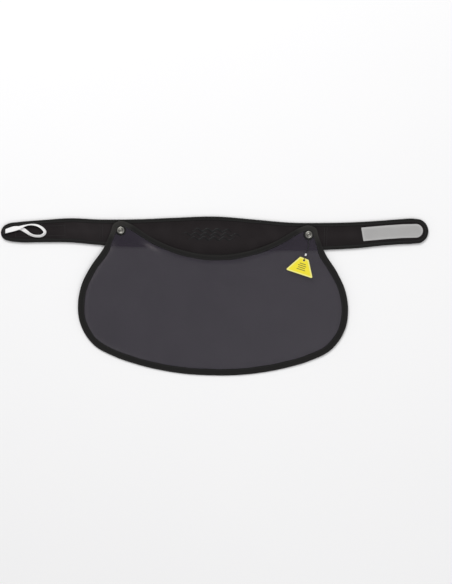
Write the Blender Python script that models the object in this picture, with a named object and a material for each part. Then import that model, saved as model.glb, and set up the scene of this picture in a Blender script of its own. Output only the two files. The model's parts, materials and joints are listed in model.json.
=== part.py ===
"""Roll-up sun visor on a headband, laid out flat.

The band is a stack of lining, foam and shell held together by a binding tape round its edge.
A smoked film visor with its own binding hangs from two press studs on the band.  The band closes
behind the head with hook and loop tape.  A cord loop on the left tip holds the visor when it is
rolled up, and a hang tag is tied to the right press stud.

The band and the visor bend where they wrap round a head, so each layer is made whole and then
sliced at the fold lines, which are the axes of the wrap joints.

Frame: origin on the lining's inner face at the middle of the front panel, +X along the band towards
the hook tape, +Y up the forehead, +Z out of the front face.  Metres.
"""
import math

import bmesh
import bpy
from mathutils import Matrix, Vector

MM = 0.001

# Fold lines, and how far a slice stays back from each of them
FOLDS = {"front": 60 * MM, "strap": 172 * MM, "tip": 214 * MM}
HALF_GAP = 0.15 * MM
REACH = 340 * MM
CUTTER_HEIGHT = 60 * MM

# Heights of the band's layers above the lining's inner face, which is level with the binding's
BINDING_TOP = 4.2 * MM
TAPE = 0.5 * MM
LINING_TOP = 1.2 * MM
FOAM_LOW = 1.45 * MM
FOAM_TOP = 2.7 * MM
SHELL_LOW = 2.95 * MM
SHELL_TOP = 3.45 * MM
STRAP_LINING_LOW = 0.8 * MM
STRAP_LINING_TOP = 2.0 * MM
STRAP_SHELL_LOW = 2.25 * MM
LAYER_GAP = 0.25 * MM
BAND_BINDING_WIDTH = 5.6 * MM
LAYER_INSET = 0.9 * MM
LINING_INSET = BAND_BINDING_WIDTH + 0.3 * MM

# The visor is one flat plane, tilted about X so that its lower edge lies on the floor
VISOR_HEIGHT = 7.0 * MM
VISOR_DROP = 214.3 * MM
FILM_THICKNESS = 0.5 * MM
VISOR_BINDING_THICKNESS = 2.0 * MM
VISOR_SIDE_WIDTH = 9.6 * MM
VISOR_TOP_WIDTH = 7.4 * MM
TILT = math.asin((VISOR_HEIGHT - VISOR_BINDING_THICKNESS / 2) / VISOR_DROP)
EAR_CUT = -14 * MM
SIDES_NARROW_FROM = -28 * MM
TOP_EDGE_LOW = -42 * MM
TOP_STRIP_END = 130 * MM
TOP_STRIP_LOW = -60 * MM
SNAP_X = 140.7 * MM
POST_HOLE = 1.1 * MM
POST_POCKET = 4.3 * MM

# Outlines in millimetres, smoothed through these points
BAND_TOP = [(299, 27.7), (278, 26.6), (250, 23.8), (212, 20.6), (172, 18.6), (112, 17.6), (60, 20.8),
            (0, 24.0), (-60, 20.8), (-112, 17.4), (-172, 15.6), (-218, 16.3), (-258, 12.8), (-296, 8.7)]
BAND_LEFT_END = [(-308, 6.8), (-316, 2.4), (-320, -4.6), (-319.6, -12), (-315, -17.4), (-307, -20)]
BAND_BOTTOM = [(-294, -21.3), (-258, -20.6), (-218, -19.9), (-172, -22.7), (-130, -24.2), (-96, -24.2),
               (-60, -30.5), (-28, -36.6), (0, -38.4), (28, -36.6), (60, -30.5), (96, -24.2),
               (130, -24.0), (172, -21.8), (212, -18.8), (250, -14.0), (278, -11.2), (297, -9.9)]
BAND_RIGHT_END = {"centre": (301.2, 9.0), "radius": 18.8, "turns": (-60, -30, 0, 30, 60)}
VISOR_HALF = [(19, -33.2), (45, -28.6), (73, -19.5), (95, -9.3), (115, 3.0), (128, 10.4), (141, 13.8),
              (151.5, 9.0), (155.6, -2.7), (166, -27.5), (184, -54.5), (197.3, -82), (202.4, -113),
              (200, -135.6), (192.6, -153.6), (178.4, -171.7), (145, -189.8), (116, -199.2),
              (70, -209.2), (36, -213.2)]
VISOR_TOP = (0, -34.2)
VISOR_BOTTOM = (0, -214.3)

# Hook and loop tapes: centre line and half width in millimetres
HOOK_LINE = [(221, 2.4), (257, 6.4), (281, 8.6), (301.4, 9.6)]
HOOK_HALF = 10.2
HOOK_SLANT = 0.8
HOOK_LOW = SHELL_TOP + LAYER_GAP
HOOK_TOP = HOOK_LOW + 1.0 * MM
LOOP_LINE = [(-223, -1.9), (-258, -3.9), (-300, -6.4)]
LOOP_HALF = 8.8
LOOP_LOW = 0.1 * MM
LOOP_TOP = STRAP_LINING_LOW - LAYER_GAP

# Storage loop: flat elastic on the left tip, its two ends sewn down one on the other. The route is
# (x, y, millimetres that the elastic is lifted, degrees that it leans towards its edge)
ELASTIC_WIDTH = 5.5 * MM
ELASTIC_THICKNESS = 1.4 * MM
ELASTIC_SIDES = [(1, 0.5), (0.8, 1), (-0.8, 1), (-1, 0.5), (-1, -0.5), (-0.8, -1), (0.8, -1), (1, -0.5)]
ELASTIC_REST = BINDING_TOP + 0.3 * MM
LOOP_END = (-314.4 * MM, 0, 6.2 * MM)
LOOP_ROUTE = [(-314.4, -5.7, 0, 0), (-308, -3.2, 0, 0), (-303.3, -1.3, 0, 0), (-298.8, -0.3, 0, 0),
              (-294.4, -0.2, 0, 0), (-290.2, -0.8, 0, 0), (-286, -2.7, 0, 6), (-281.4, -5.7, 0, 25),
              (-276.5, -9.0, 0, 45), (-271, -11.2, 0, 53), (-265, -11.8, 0, 53), (-259.6, -11.2, 0, 53),
              (-255.6, -8.9, 0, 50), (-254, -5.4, 0, 46), (-256, -1.9, 0, 46), (-260, 1.6, 0, 52),
              (-265.4, 4.2, 0, 60), (-272.1, 5.3, 0, 70), (-278.9, 4.8, 0, 76), (-284.5, 3.3, 0.3, 64),
              (-289.6, 1.3, 1.2, 44), (-294.5, -0.7, 1.9, 20), (-299, -2.1, 1.9, 5),
              (-303.5, -3.4, 1.9, 0), (-308, -4.6, 1.9, 0), (-314.4, -6.3, 1.9, 0)]

# Hang tag on the right press stud, in the plane of the visor
TAG_CORNERS = [(107.2, -52.9), (148.0, -65.4), (141.3, -37.7), (128.7, -33.2)]
TAG_ROUND = 1.6 * MM
TAG_LOW = 1.3 * MM
TAG_TOP = 1.8 * MM
TAG_HOLE = (134.4, -38.6)
TAG_HOLE_RADIUS = 1.6 * MM
LOCK_CENTRE = (136.8, -30.2)
LOCK_HEIGHT = 2.6 * MM
LOCK_LENGTH = 3.6 * MM
STRING = 0.9 * MM
STRING_ROUTE = [(139.7, -6.6, 1.05), (140.1, -9, 1.05), (140.4, -11.6, 1.1), (140.6, -14.2, 1.2),
                (140.6, -16.8, 1.4), (140.4, -19.4, 1.65), (139.8, -21.9, 1.95), (138.9, -24.3, 2.2),
                (137.9, -26.6, 2.35), (137.1, -28.9, 2.42), (136.6, -31.2, 2.45), (136, -33.4, 2.5),
                (135.4, -35.4, 2.5), (134.8, -37.1, 2.25), (134.4, -38.3, 1.5), (134.3, -38.7, 1.0)]

# Press stud profiles in millimetres, (radius, height), turned about the stud's axis
CAP = [(0, -0.95), (0.75, -0.95), (0.75, 0.55), (5.3, 0.55), (5.5, 0.8), (5.4, 1.25), (4.8, 1.65),
       (2.0, 1.85), (1.3, 1.6), (0, 1.5)]
SOCKET = [(1.1, -1.05), (2.1, -1.05), (2.1, -2.45), (4.8, -2.45), (4.8, -0.95), (4.4, -0.55),
          (1.1, -0.55)]
STUD = [(1.0, 3.7), (4.6, 3.7), (4.6, 4.0), (1.5, 4.1), (1.5, 4.9), (1.75, 5.2), (1.5, 5.6), (1.0, 5.6)]
POST = [(0, 0.3), (3.8, 0.3), (4.0, 0.5), (3.8, 0.7), (0.7, 0.7), (0.7, 5.2), (0, 5.2)]
LOCK = [(0.75, -0.5), (1.3, -0.5), (1.55, -0.35), (1.55, 0.35), (1.3, 0.5), (0.75, 0.5)]
ROUND_SIDES = 18
SMALL_SIDES = 10
SPAN_STEPS = 3
CORD_STEPS = 2


def clear_scene():
    for old in list(bpy.data.objects):
        bpy.data.objects.remove(old, do_unlink=True)


def material(name, colour, roughness, metallic=0.0):
    made = bpy.data.materials.new(name)
    made.use_nodes = True
    shader = made.node_tree.nodes["Principled BSDF"]
    shader.inputs["Base Color"].default_value = (*colour, 1)
    shader.inputs["Roughness"].default_value = roughness
    shader.inputs["Metallic"].default_value = metallic
    return made


def in_metres(points):
    return [Vector(point) * MM for point in points]


def curve_through(points, steps, closed):
    """A smooth curve through the points: cubic spans whose slopes come from their neighbours."""
    count = len(points)
    slopes = []
    for i, here in enumerate(points):
        before = points[i - 1] if closed or i else here
        after = points[(i + 1) % count] if closed or i < count - 1 else here
        back, ahead = (here - before).length, (after - here).length
        if not back:
            slopes.append((after - here) / ahead)
        elif not ahead:
            slopes.append((here - before) / back)
        else:
            mixed = (after - here) * back / ahead + (here - before) * ahead / back
            slopes.append(mixed / (back + ahead))
    curve = []
    for i in range(count if closed else count - 1):
        a, b = points[i], points[(i + 1) % count]
        span = (b - a).length
        for step in range(steps):
            t = step / steps
            curve.append(
                a * (2 * t**3 - 3 * t**2 + 1)
                + slopes[i] * span * (t**3 - 2 * t**2 + t)
                + b * (3 * t**2 - 2 * t**3)
                + slopes[(i + 1) % count] * span * (t**3 - t**2)
            )
    return curve if closed else curve + [points[-1]]


def inward(outline):
    """The inward direction at each point of a counter-clockwise outline, long enough to mitre."""
    directions = []
    for i, here in enumerate(outline):
        arrive = (here - outline[i - 1]).normalized()
        leave = (outline[(i + 1) % len(outline)] - here).normalized()
        middle = (arrive + leave).normalized()
        directions.append(Vector((-middle.y, middle.x)) / max(middle.dot(leave), 0.5))
    return directions


def inset(outline, distance):
    return [point + way * distance for point, way in zip(outline, inward(outline))]


def band_outline():
    """The band's edge, counter-clockwise from the right end's lower side."""
    x, y = BAND_RIGHT_END["centre"]
    end = [
        (x + BAND_RIGHT_END["radius"] * math.cos(math.radians(turn)),
         y + BAND_RIGHT_END["radius"] * math.sin(math.radians(turn)))
        for turn in BAND_RIGHT_END["turns"]
    ]
    points = in_metres(end + BAND_TOP + BAND_LEFT_END + BAND_BOTTOM)
    return curve_through(points, SPAN_STEPS, closed=True)


def visor_outline():
    """The visor's edge, counter-clockwise from the middle of its upper edge."""
    left = [(-x, y) for x, y in VISOR_HALF]
    points = in_metres([VISOR_TOP] + left + [VISOR_BOTTOM] + VISOR_HALF[::-1])
    return curve_through(points, SPAN_STEPS, closed=True)


def finish_mesh(name, shape, smooth_angle=None):
    bmesh.ops.recalc_face_normals(shape, faces=shape.faces)
    mesh = bpy.data.meshes.new(name)
    shape.to_mesh(mesh)
    shape.free()
    if smooth_angle:
        mesh.shade_smooth()
        mesh.set_sharp_from_angle(angle=smooth_angle)
    return mesh


def plate(name, outline, low, top):
    """A flat sheet with the given outline."""
    shape = bmesh.new()
    base = shape.faces.new([shape.verts.new((*point, low)) for point in outline])
    raised = bmesh.ops.extrude_face_region(shape, geom=[base])["geom"]
    bmesh.ops.translate(
        shape, vec=(0, 0, top - low), verts=[part for part in raised if isinstance(part, bmesh.types.BMVert)]
    )
    return finish_mesh(name, shape)


def channel(name, outline, widths, low, top):
    """A binding tape folded round a sheet's edge: a U profile carried round the outline."""
    shape = bmesh.new()
    rings = []
    for point, way, width in zip(outline, inward(outline), widths):
        profile = [
            (0, low), (0, top), (width, top), (width, top - TAPE),
            (TAPE, top - TAPE), (TAPE, low + TAPE), (width, low + TAPE), (width, low),
        ]
        rings.append([shape.verts.new((*(point + way * depth), z)) for depth, z in profile])
    for this, following in zip(rings, rings[1:] + rings[:1]):
        for k in range(len(this)):
            shape.faces.new((this[k - 1], this[k], following[k], following[k - 1]))
    return finish_mesh(name, shape)


def turned(name, profile, sides, bored):
    """A profile of (radius, height) in millimetres turned about Z, with a hole through it if bored."""
    shape = bmesh.new()
    rings = []
    for radius, z in profile:
        around = sides if radius else 1
        rings.append([
            shape.verts.new((
                radius * MM * math.cos(math.tau * k / sides),
                radius * MM * math.sin(math.tau * k / sides),
                z * MM,
            ))
            for k in range(around)
        ])
    pairs = list(zip(rings, rings[1:]))
    if bored:
        pairs.append((rings[-1], rings[0]))
    for this, following in pairs:
        for k in range(sides):
            corners = [
                this[k % len(this)], this[(k + 1) % len(this)],
                following[(k + 1) % len(following)], following[k % len(following)],
            ]
            shape.faces.new(list(dict.fromkeys(corners)))
    return finish_mesh(name, shape, smooth_angle=math.radians(35))


def cutter(name, mesh, location=(0, 0, 0)):
    guide = bpy.data.objects.new(name, mesh)
    guide.location = location
    guide.hide_render = True
    guide.display_type = "WIRE"
    bpy.context.collection.objects.link(guide)
    return guide


def bore(name, radius, location):
    """A tall round cutter."""
    reach = CUTTER_HEIGHT / MM
    profile = [(0, -reach), (radius / MM, -reach), (radius / MM, reach), (0, reach)]
    return cutter(name, turned(name, profile, SMALL_SIDES, bored=False), location)


def region(name, corners):
    """A tall prism that keeps the part of a layer inside it."""
    outline = [Vector(corner) for corner in corners]
    return cutter(name, plate(name, outline, -CUTTER_HEIGHT, CUTTER_HEIGHT))


def box_region(name, low, high):
    (x0, y0), (x1, y1) = low, high
    return region(name, [(x0, y0), (x1, y0), (x1, y1), (x0, y1)])


def body(name, location, parent=None):
    """An empty on a body's joint axis; everything on the body hangs from it."""
    empty = bpy.data.objects.new(name, None)
    empty.location = location
    bpy.context.collection.objects.link(empty)
    if parent:
        attach(empty, parent)
    return empty


def attach(piece, parent):
    piece.parent = parent
    piece.matrix_parent_inverse = Matrix.Translation(-parent.location)


def node(name, mesh, look, parent, keep=None, holes=(), location=(0, 0, 0), tilt=0.0):
    """One named piece: a mesh, kept inside one region and pierced by the hole cutters."""
    if not mesh.materials:
        mesh.materials.append(look)
    piece = bpy.data.objects.new(name, mesh)
    piece.location = location
    piece.rotation_euler.x = tilt
    bpy.context.collection.objects.link(piece)
    attach(piece, parent)
    for tool, operation in [(keep, "INTERSECT")] + [(hole, "DIFFERENCE") for hole in holes]:
        if tool:
            cut = piece.modifiers.new(operation.title(), "BOOLEAN")
            cut.operation = operation
            cut.solver = "EXACT"
            cut.object = tool
    return piece


def tube(name, route, diameter, look, parent, location=(0, 0, 0), tilt=0.0):
    """A cord as a bevelled curve through its route."""
    smooth = curve_through(route, CORD_STEPS, closed=False)
    path = bpy.data.curves.new(name, "CURVE")
    path.dimensions = "3D"
    path.bevel_depth = diameter / 2
    path.bevel_resolution = 2
    path.use_fill_caps = True
    line = path.splines.new("POLY")
    line.points.add(len(smooth) - 1)
    for spot, point in zip(line.points, smooth):
        spot.co = (*point, 1)
    return node(name, path, look, parent, location=location, tilt=tilt)


def elastic_rise(lean):
    """The height of the elastic's middle over its lowest edge, at that lean."""
    standing = ELASTIC_WIDTH / 2 * math.sin(math.radians(lean))
    lying = ELASTIC_THICKNESS / 2 * math.cos(math.radians(lean))
    return (standing**1.5 + lying**1.5) ** (2 / 3)


def ribbon(name, route):
    """A flat elastic through its route, leaning over on its outer edge."""
    points = [
        Vector((x * MM, y * MM, ELASTIC_REST + lift * MM + elastic_rise(lean))) for x, y, lift, lean in route
    ]
    smooth = curve_through(points, CORD_STEPS, closed=False)
    leans = [lean for *_, lean in route]
    shape = bmesh.new()
    rings = []
    for i, middle in enumerate(smooth):
        span, step = divmod(i, CORD_STEPS)
        following = leans[min(span + 1, len(leans) - 1)]
        lean = math.radians(leans[span] + (following - leans[span]) * step / CORD_STEPS)
        ahead = (smooth[min(i + 1, len(smooth) - 1)] - smooth[max(i - 1, 0)]).normalized()
        side = ahead.cross(Vector((0, 0, 1))).normalized()
        up = side.cross(ahead)
        wide = side * math.cos(lean) - up * math.sin(lean)
        thick = side * math.sin(lean) + up * math.cos(lean)
        rings.append([
            shape.verts.new(middle + wide * across * ELASTIC_WIDTH / 2 + thick * over * ELASTIC_THICKNESS / 2)
            for across, over in ELASTIC_SIDES
        ])
    for this, following in zip(rings, rings[1:]):
        for k in range(len(this)):
            after = (k + 1) % len(this)
            shape.faces.new([this[k], this[after], following[after], following[k]])
    shape.faces.new(rings[0])
    shape.faces.new(rings[-1])
    return finish_mesh(name, shape, smooth_angle=math.radians(35))


def strip_outline(line, half, slant, round_end):
    """A strip of tape along a centre line, its first end slanted and its last end square or round."""
    points = in_metres(line)
    ahead = (points[-1] - points[-2]).normalized()
    across = Vector((-ahead.y, ahead.x))
    first = (points[1] - points[0]).normalized()
    first_across = Vector((-first.y, first.x))
    lower = [points[0] - first_across * half + first * slant]
    upper = [points[0] + first_across * half - first * slant]
    for middle in points[1:]:
        lower.append(middle - across * half)
        upper.append(middle + across * half)
    end = []
    if round_end:
        for turn in (-60, -30, 0, 30, 60):
            angle = math.radians(turn)
            end.append(points[-1] + (ahead * math.cos(angle) + across * math.sin(angle)) * half)
    return lower + end + upper[::-1]


def rounded_outline(corners, radius):
    """A polygon with its corners rounded off by short arcs."""
    outline = []
    for i, corner in enumerate(corners):
        arrive = (corners[i - 1] - corner).normalized()
        leave = (corners[(i + 1) % len(corners)] - corner).normalized()
        half_angle = arrive.angle(leave) / 2
        cut = radius / math.tan(half_angle)
        centre = corner + (arrive + leave).normalized() * radius / math.sin(half_angle)
        start, end = corner + arrive * cut - centre, corner + leave * cut - centre
        for step in range(5):
            mixed = start.lerp(end, step / 4)
            outline.append(centre + mixed.normalized() * radius)
    return outline


def mirrored(corners, side):
    """Corners given for the right side, moved to either side and kept counter-clockwise."""
    moved = [(x * side, y) for x, y in corners]
    return moved if side > 0 else moved[::-1]


def build_bodies():
    """The tree of moving bodies, from the middle of the front out to the tips."""
    bodies = {"front_center": body("front_center_body", Vector((0, 0, 0)))}
    for side, word in ((-1, "left"), (1, "right")):
        parent = bodies["front_center"]
        for part in ("front", "strap", "tip"):
            name = f"{word}_{part}"
            parent = body(f"{name}_body", Vector((side * FOLDS[part], 0, 0)), parent)
            bodies[name] = parent
        snap = Vector((side * SNAP_X, 0, VISOR_HEIGHT))
        bodies[f"{word}_ear"] = body(f"{word}_ear_body", snap, bodies[f"{word}_front"])
    bodies["storage_loop"] = body("storage_loop_body", Vector(LOOP_END), bodies["left_tip"])
    bodies["hang_tag"] = body("hang_tag_body", Vector((SNAP_X, 0, VISOR_HEIGHT)), bodies["right_ear"])
    return bodies


def build_band(bodies, looks, snap_holes):
    """The band's layers and its binding, sliced at the fold lines."""
    edge = band_outline()
    inner = inset(edge, LAYER_INSET)
    lining = plate("lining", inset(edge, LINING_INSET), 0, LINING_TOP)
    foam = plate("foam", inner, FOAM_LOW, FOAM_TOP)
    shell = plate("shell", inner, SHELL_LOW, SHELL_TOP)
    strap_lining = plate("strap_lining", inner, STRAP_LINING_LOW, STRAP_LINING_TOP)
    strap_shell = plate("strap_shell", inner, STRAP_SHELL_LOW, SHELL_TOP)
    binding = channel("binding", edge, [BAND_BINDING_WIDTH] * len(edge), 0, BINDING_TOP)

    spans = {"front_center": (-FOLDS["front"], FOLDS["front"])}
    for side, word in ((-1, "left"), (1, "right")):
        limits = [FOLDS["front"], FOLDS["strap"], FOLDS["tip"], REACH]
        for part, near, far in zip(("front", "strap", "tip"), limits, limits[1:]):
            spans[f"{word}_{part}"] = (min(side * near, side * far), max(side * near, side * far))

    for name, (low, high) in spans.items():
        label = "front" if name == "front_center" else name
        low, high = low + HALF_GAP, high - HALF_GAP
        whole = box_region(f"{label}_region", (low, -REACH), (high, REACH))
        is_front = "front" in name
        word = name.split("_")[0]
        pierced = is_front and word in snap_holes
        holes = [snap_holes[word]["hole"]] if pierced else []
        pockets = [snap_holes[word]["pocket"]] if pierced else []
        parent = bodies[name]
        node(f"{label}_shell", shell if is_front else strap_shell, looks["shell"], parent, whole, holes)
        node(f"{label}_lining", lining if is_front else strap_lining, looks["lining"], parent, whole, pockets)
        if is_front:
            node(f"{label}_foam", foam, looks["foam"], parent, whole, holes)
        if name.endswith("tip"):
            node(f"{label}_binding", binding, looks["binding"], parent, whole)
            continue
        upper = box_region(f"{label}_upper_region", (low, 0), (high, REACH))
        lower = box_region(f"{label}_lower_region", (low, -REACH), (high, 0))
        node(f"{label}_top_binding", binding, looks["binding"], parent, upper)
        node(f"{label}_bottom_binding", binding, looks["binding"], parent, lower)


def build_visor(bodies, looks, snap_holes):
    """The smoked film and the binding round it, sliced at the fold lines and at the ears."""
    edge = visor_outline()
    half_film, half_binding = FILM_THICKNESS / 2, VISOR_BINDING_THICKNESS / 2
    widths = []
    for point in edge:
        on_top = abs(point.x) < SNAP_X and point.y > TOP_EDGE_LOW
        climb = (point.y - SIDES_NARROW_FROM) / (EAR_CUT - SIDES_NARROW_FROM)
        narrow = 1 if on_top else min(max(climb, 0), 1)
        widths.append(VISOR_SIDE_WIDTH + (VISOR_TOP_WIDTH - VISOR_SIDE_WIDTH) * narrow)
    film = plate("film", inset(edge, LAYER_INSET), -half_film, half_film)
    binding = channel("visor_edge", edge, widths, -half_binding, half_binding)
    place = {"location": (0, 0, VISOR_HEIGHT), "tilt": TILT}

    fold = FOLDS["front"]
    middle = fold - HALF_GAP
    upper = box_region("visor_top_region", (-middle, TOP_STRIP_LOW), (middle, REACH))
    lower = box_region("visor_bottom_region", (-middle, -REACH), (middle, TOP_STRIP_LOW))
    whole = box_region("visor_middle_region", (-middle, -REACH), (middle, REACH))
    centre = bodies["front_center"]
    node("visor_film", film, looks["film"], centre, whole, **place)
    node("visor_top_binding", binding, looks["binding"], centre, upper, **place)
    node("visor_bottom_binding", binding, looks["binding"], centre, lower, **place)

    start = fold + HALF_GAP
    below, above = EAR_CUT - HALF_GAP, EAR_CUT + HALF_GAP
    side_area = [(start, -REACH), (REACH, -REACH), (REACH, below), (start, below)]
    strip_area = [
        (start, TOP_STRIP_LOW), (TOP_STRIP_END, TOP_STRIP_LOW), (TOP_STRIP_END, below), (start, below),
    ]
    outer_area = [
        (start, -REACH), (REACH, -REACH), (REACH, below), (TOP_STRIP_END, below),
        (TOP_STRIP_END, TOP_STRIP_LOW), (start, TOP_STRIP_LOW),
    ]
    ear_area = [(start, above), (REACH, above), (REACH, REACH), (start, REACH)]
    for side, word in ((-1, "left"), (1, "right")):
        areas = {
            key: region(f"{word}_{key}_region", mirrored(corners, side))
            for key, corners in (
                ("side", side_area), ("strip", strip_area), ("outer", outer_area), ("ear", ear_area),
            )
        }
        front, ear = bodies[f"{word}_front"], bodies[f"{word}_ear"]
        node(f"{word}_visor_film", film, looks["film"], front, areas["side"], **place)
        node(f"{word}_visor_top_binding", binding, looks["binding"], front, areas["strip"], **place)
        node(f"{word}_visor_side_binding", binding, looks["binding"], front, areas["outer"], **place)
        node(f"{word}_ear_film", film, looks["film"], ear, areas["ear"], [snap_holes[word]["hole"]], **place)
        node(f"{word}_ear_binding", binding, looks["binding"], ear, areas["ear"], **place)


def build_snaps(bodies, looks):
    """Two press studs: cap and socket on the visor's ear, stud and post on the band."""
    cap = turned("cap", CAP, ROUND_SIDES, bored=False)
    socket = turned("socket", SOCKET, ROUND_SIDES, bored=True)
    stud = turned("stud", STUD, ROUND_SIDES, bored=True)
    post = turned("post", POST, SMALL_SIDES, bored=False)
    for side, word in ((-1, "left"), (1, "right")):
        ear, front = bodies[f"{word}_ear"], bodies[f"{word}_front"]
        on_visor = {"location": (side * SNAP_X, 0, VISOR_HEIGHT), "tilt": TILT}
        on_band = {"location": (side * SNAP_X, 0, 0)}
        node(f"{word}_snap_cap", cap, looks["metal"], ear, **on_visor)
        node(f"{word}_snap_socket", socket, looks["metal"], ear, **on_visor)
        node(f"{word}_snap_stud", stud, looks["metal"], front, **on_band)
        node(f"{word}_snap_post", post, looks["metal"], front, **on_band)


def build_tapes(bodies, looks):
    """Hook tape on the right tip's outer face, loop tape on the left tip's inner face."""
    hook = strip_outline(HOOK_LINE, HOOK_HALF * MM, HOOK_SLANT * MM, round_end=True)
    node("hook_tape", plate("hook_tape", hook, HOOK_LOW, HOOK_TOP), looks["hook"], bodies["right_tip"])
    loop = strip_outline(LOOP_LINE, LOOP_HALF * MM, 0, round_end=False)
    node("loop_tape", plate("loop_tape", loop, LOOP_LOW, LOOP_TOP), looks["loop"], bodies["left_tip"])


def build_storage_loop(bodies, looks):
    elastic = ribbon("storage_loop_cord", LOOP_ROUTE)
    node("storage_loop_cord", elastic, looks["elastic"], bodies["storage_loop"])


def build_tag(bodies, looks):
    """The hang tag card, its string from the press stud and the small lock on the string."""
    parent = bodies["hang_tag"]
    place = {"location": (0, 0, VISOR_HEIGHT), "tilt": TILT}
    hole = bore("tag_hole", TAG_HOLE_RADIUS, (TAG_HOLE[0] * MM, TAG_HOLE[1] * MM, 0))
    card = plate("tag_card", rounded_outline(in_metres(TAG_CORNERS), TAG_ROUND), TAG_LOW, TAG_TOP)
    node("tag_card", card, looks["card"], parent, holes=[hole], **place)
    tube("tag_string", in_metres(STRING_ROUTE), STRING, looks["string"], parent, **place)

    ahead = in_metres([STRING_ROUTE[11]])[0] - in_metres([STRING_ROUTE[9]])[0]
    bead = turned("tag_lock", [(radius, z * LOCK_LENGTH / MM) for radius, z in LOCK], SMALL_SIDES, bored=True)
    bead.transform(ahead.to_track_quat("Z", "Y").to_matrix().to_4x4())
    centre = Vector((*LOCK_CENTRE, LOCK_HEIGHT / MM)) * MM
    bead.transform(Matrix.Translation(centre))
    node("tag_lock", bead, looks["lock"], parent, **place)


def main():
    clear_scene()
    looks = {
        "shell": material("band_fabric", (0.021, 0.018, 0.019), 0.9),
        "lining": material("lining_fabric", (0.026, 0.024, 0.025), 0.95),
        "foam": material("foam", (0.05, 0.05, 0.05), 0.95),
        "binding": material("binding_tape", (0.016, 0.017, 0.017), 0.8),
        "film": material("smoked_film", (0.05, 0.05, 0.055), 0.2),
        "metal": material("nickel", (0.42, 0.41, 0.38), 0.35, metallic=1.0),
        "hook": material("hook_fabric", (0.40, 0.39, 0.39), 0.9),
        "loop": material("loop_fabric", (0.02, 0.02, 0.02), 0.95),
        "elastic": material("elastic_cord", (0.80, 0.80, 0.80), 0.8),
        "card": material("tag_paper", (0.90, 0.76, 0.07), 0.5),
        "string": material("tag_string", (0.01, 0.01, 0.01), 0.8),
        "lock": material("lock_plastic", (0.75, 0.76, 0.76), 0.3),
    }
    bodies = build_bodies()
    snap_holes = {}
    for side, word in ((-1, "left"), (1, "right")):
        snap_holes[word] = {
            use: bore(f"{word}_snap_{use}", radius, (side * SNAP_X, 0, 0))
            for use, radius in (("hole", POST_HOLE), ("pocket", POST_POCKET))
        }
    build_band(bodies, looks, snap_holes)
    build_visor(bodies, looks, snap_holes)
    build_snaps(bodies, looks)
    build_tapes(bodies, looks)
    build_storage_loop(bodies, looks)
    build_tag(bodies, looks)


main()
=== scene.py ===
"""The looks of the sun visor headband: fabrics, smoked film, edge tapes, stitching, snaps and tag.

Metres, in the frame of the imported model: +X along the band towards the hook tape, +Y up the
forehead, +Z out of the front face.
"""
import json
import math

import bmesh
import bpy
import numpy as np
from mathutils import Matrix, Vector
from mathutils.kdtree import KDTree


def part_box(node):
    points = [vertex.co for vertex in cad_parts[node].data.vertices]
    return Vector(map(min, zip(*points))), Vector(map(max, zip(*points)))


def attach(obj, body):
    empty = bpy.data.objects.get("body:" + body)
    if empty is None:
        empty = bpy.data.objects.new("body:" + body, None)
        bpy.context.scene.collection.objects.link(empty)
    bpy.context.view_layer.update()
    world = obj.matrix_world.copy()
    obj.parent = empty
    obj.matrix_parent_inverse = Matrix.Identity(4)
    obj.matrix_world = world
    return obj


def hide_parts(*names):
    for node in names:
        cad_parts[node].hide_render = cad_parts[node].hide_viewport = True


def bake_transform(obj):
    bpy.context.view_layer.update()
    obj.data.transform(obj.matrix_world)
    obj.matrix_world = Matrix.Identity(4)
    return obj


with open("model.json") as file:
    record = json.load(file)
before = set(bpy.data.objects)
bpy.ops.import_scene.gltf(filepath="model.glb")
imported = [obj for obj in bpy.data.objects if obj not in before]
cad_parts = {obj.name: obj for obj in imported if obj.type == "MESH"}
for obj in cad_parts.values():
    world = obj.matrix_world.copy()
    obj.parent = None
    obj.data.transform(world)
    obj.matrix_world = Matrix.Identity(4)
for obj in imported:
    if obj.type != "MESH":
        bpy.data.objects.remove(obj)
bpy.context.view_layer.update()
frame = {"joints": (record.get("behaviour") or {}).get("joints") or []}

MM = 0.001
TURN = math.tau
SIDES = ((-1, "left"), (1, "right"))
JOINTS = {joint["name"]: joint for joint in frame["joints"]}

# Places read from the frame
WRAP_X = JOINTS["right_wrap"]["pos_m"][0]
STRAP_X = JOINTS["right_strap_wrap"]["pos_m"][0]
TIP_X = JOINTS["right_tip_wrap"]["pos_m"][0]
SNAP = Vector(JOINTS["hang_tag_swing"]["pos_m"])
SWING_AXIS = JOINTS["hang_tag_swing"]["axis"]
TILT = math.atan2(-SWING_AXIS[1], SWING_AXIS[2])
VISOR_PLACE = Matrix.Translation((0, 0, SNAP.z)) @ Matrix.Rotation(TILT, 4, "X")

# How far each bend reaches inside and outside its joint, and the planes across X where pieces are
# sliced.  A bend lies mostly outside its joint, so that the band doesn't bulge as it wraps.
WRAP_REACH = (17 * MM, 29 * MM)
STRAP_REACH = (11 * MM, 18 * MM)
FRONT_END = 116 * MM
STRAP_END = (STRAP_X + TIP_X) / 2
EAR_START = 92 * MM
EAR_BEND = (Vector((92, -10.5, 0)) * MM, Vector((0.35, 0.937, 0)), 21 * MM)

# Band layers, as heights above the lining's inner face
BAND_TOP_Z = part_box("front_top_binding")[1].z
SHELL_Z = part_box("front_shell")[1].z
FOAM_LOW_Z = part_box("front_foam")[0].z
BAND_TAPE_WIDTH = 5.6 * MM
VISOR_TAPE_WIDTH = 9.6 * MM
VISOR_TOP_TAPE_WIDTH = 7.4 * MM
VISOR_TAPE_HALF = 1.0 * MM
FILM_HALF = 0.25 * MM
TAPE_THICK = 0.45 * MM
LAYER_INSET = 1.1 * MM
CELL = 1.5 * MM
FILM_CELL = 3.5 * MM

# Stitching along the binding tapes: how far it is from their inner edge, its pitch, each stitch's
# length and the thickness of its thread
STITCH_INSET = 1.5 * MM
STITCH_PITCH = 3.3 * MM
STITCH_LENGTH = 2.5 * MM
THREAD = 0.42 * MM

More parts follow.
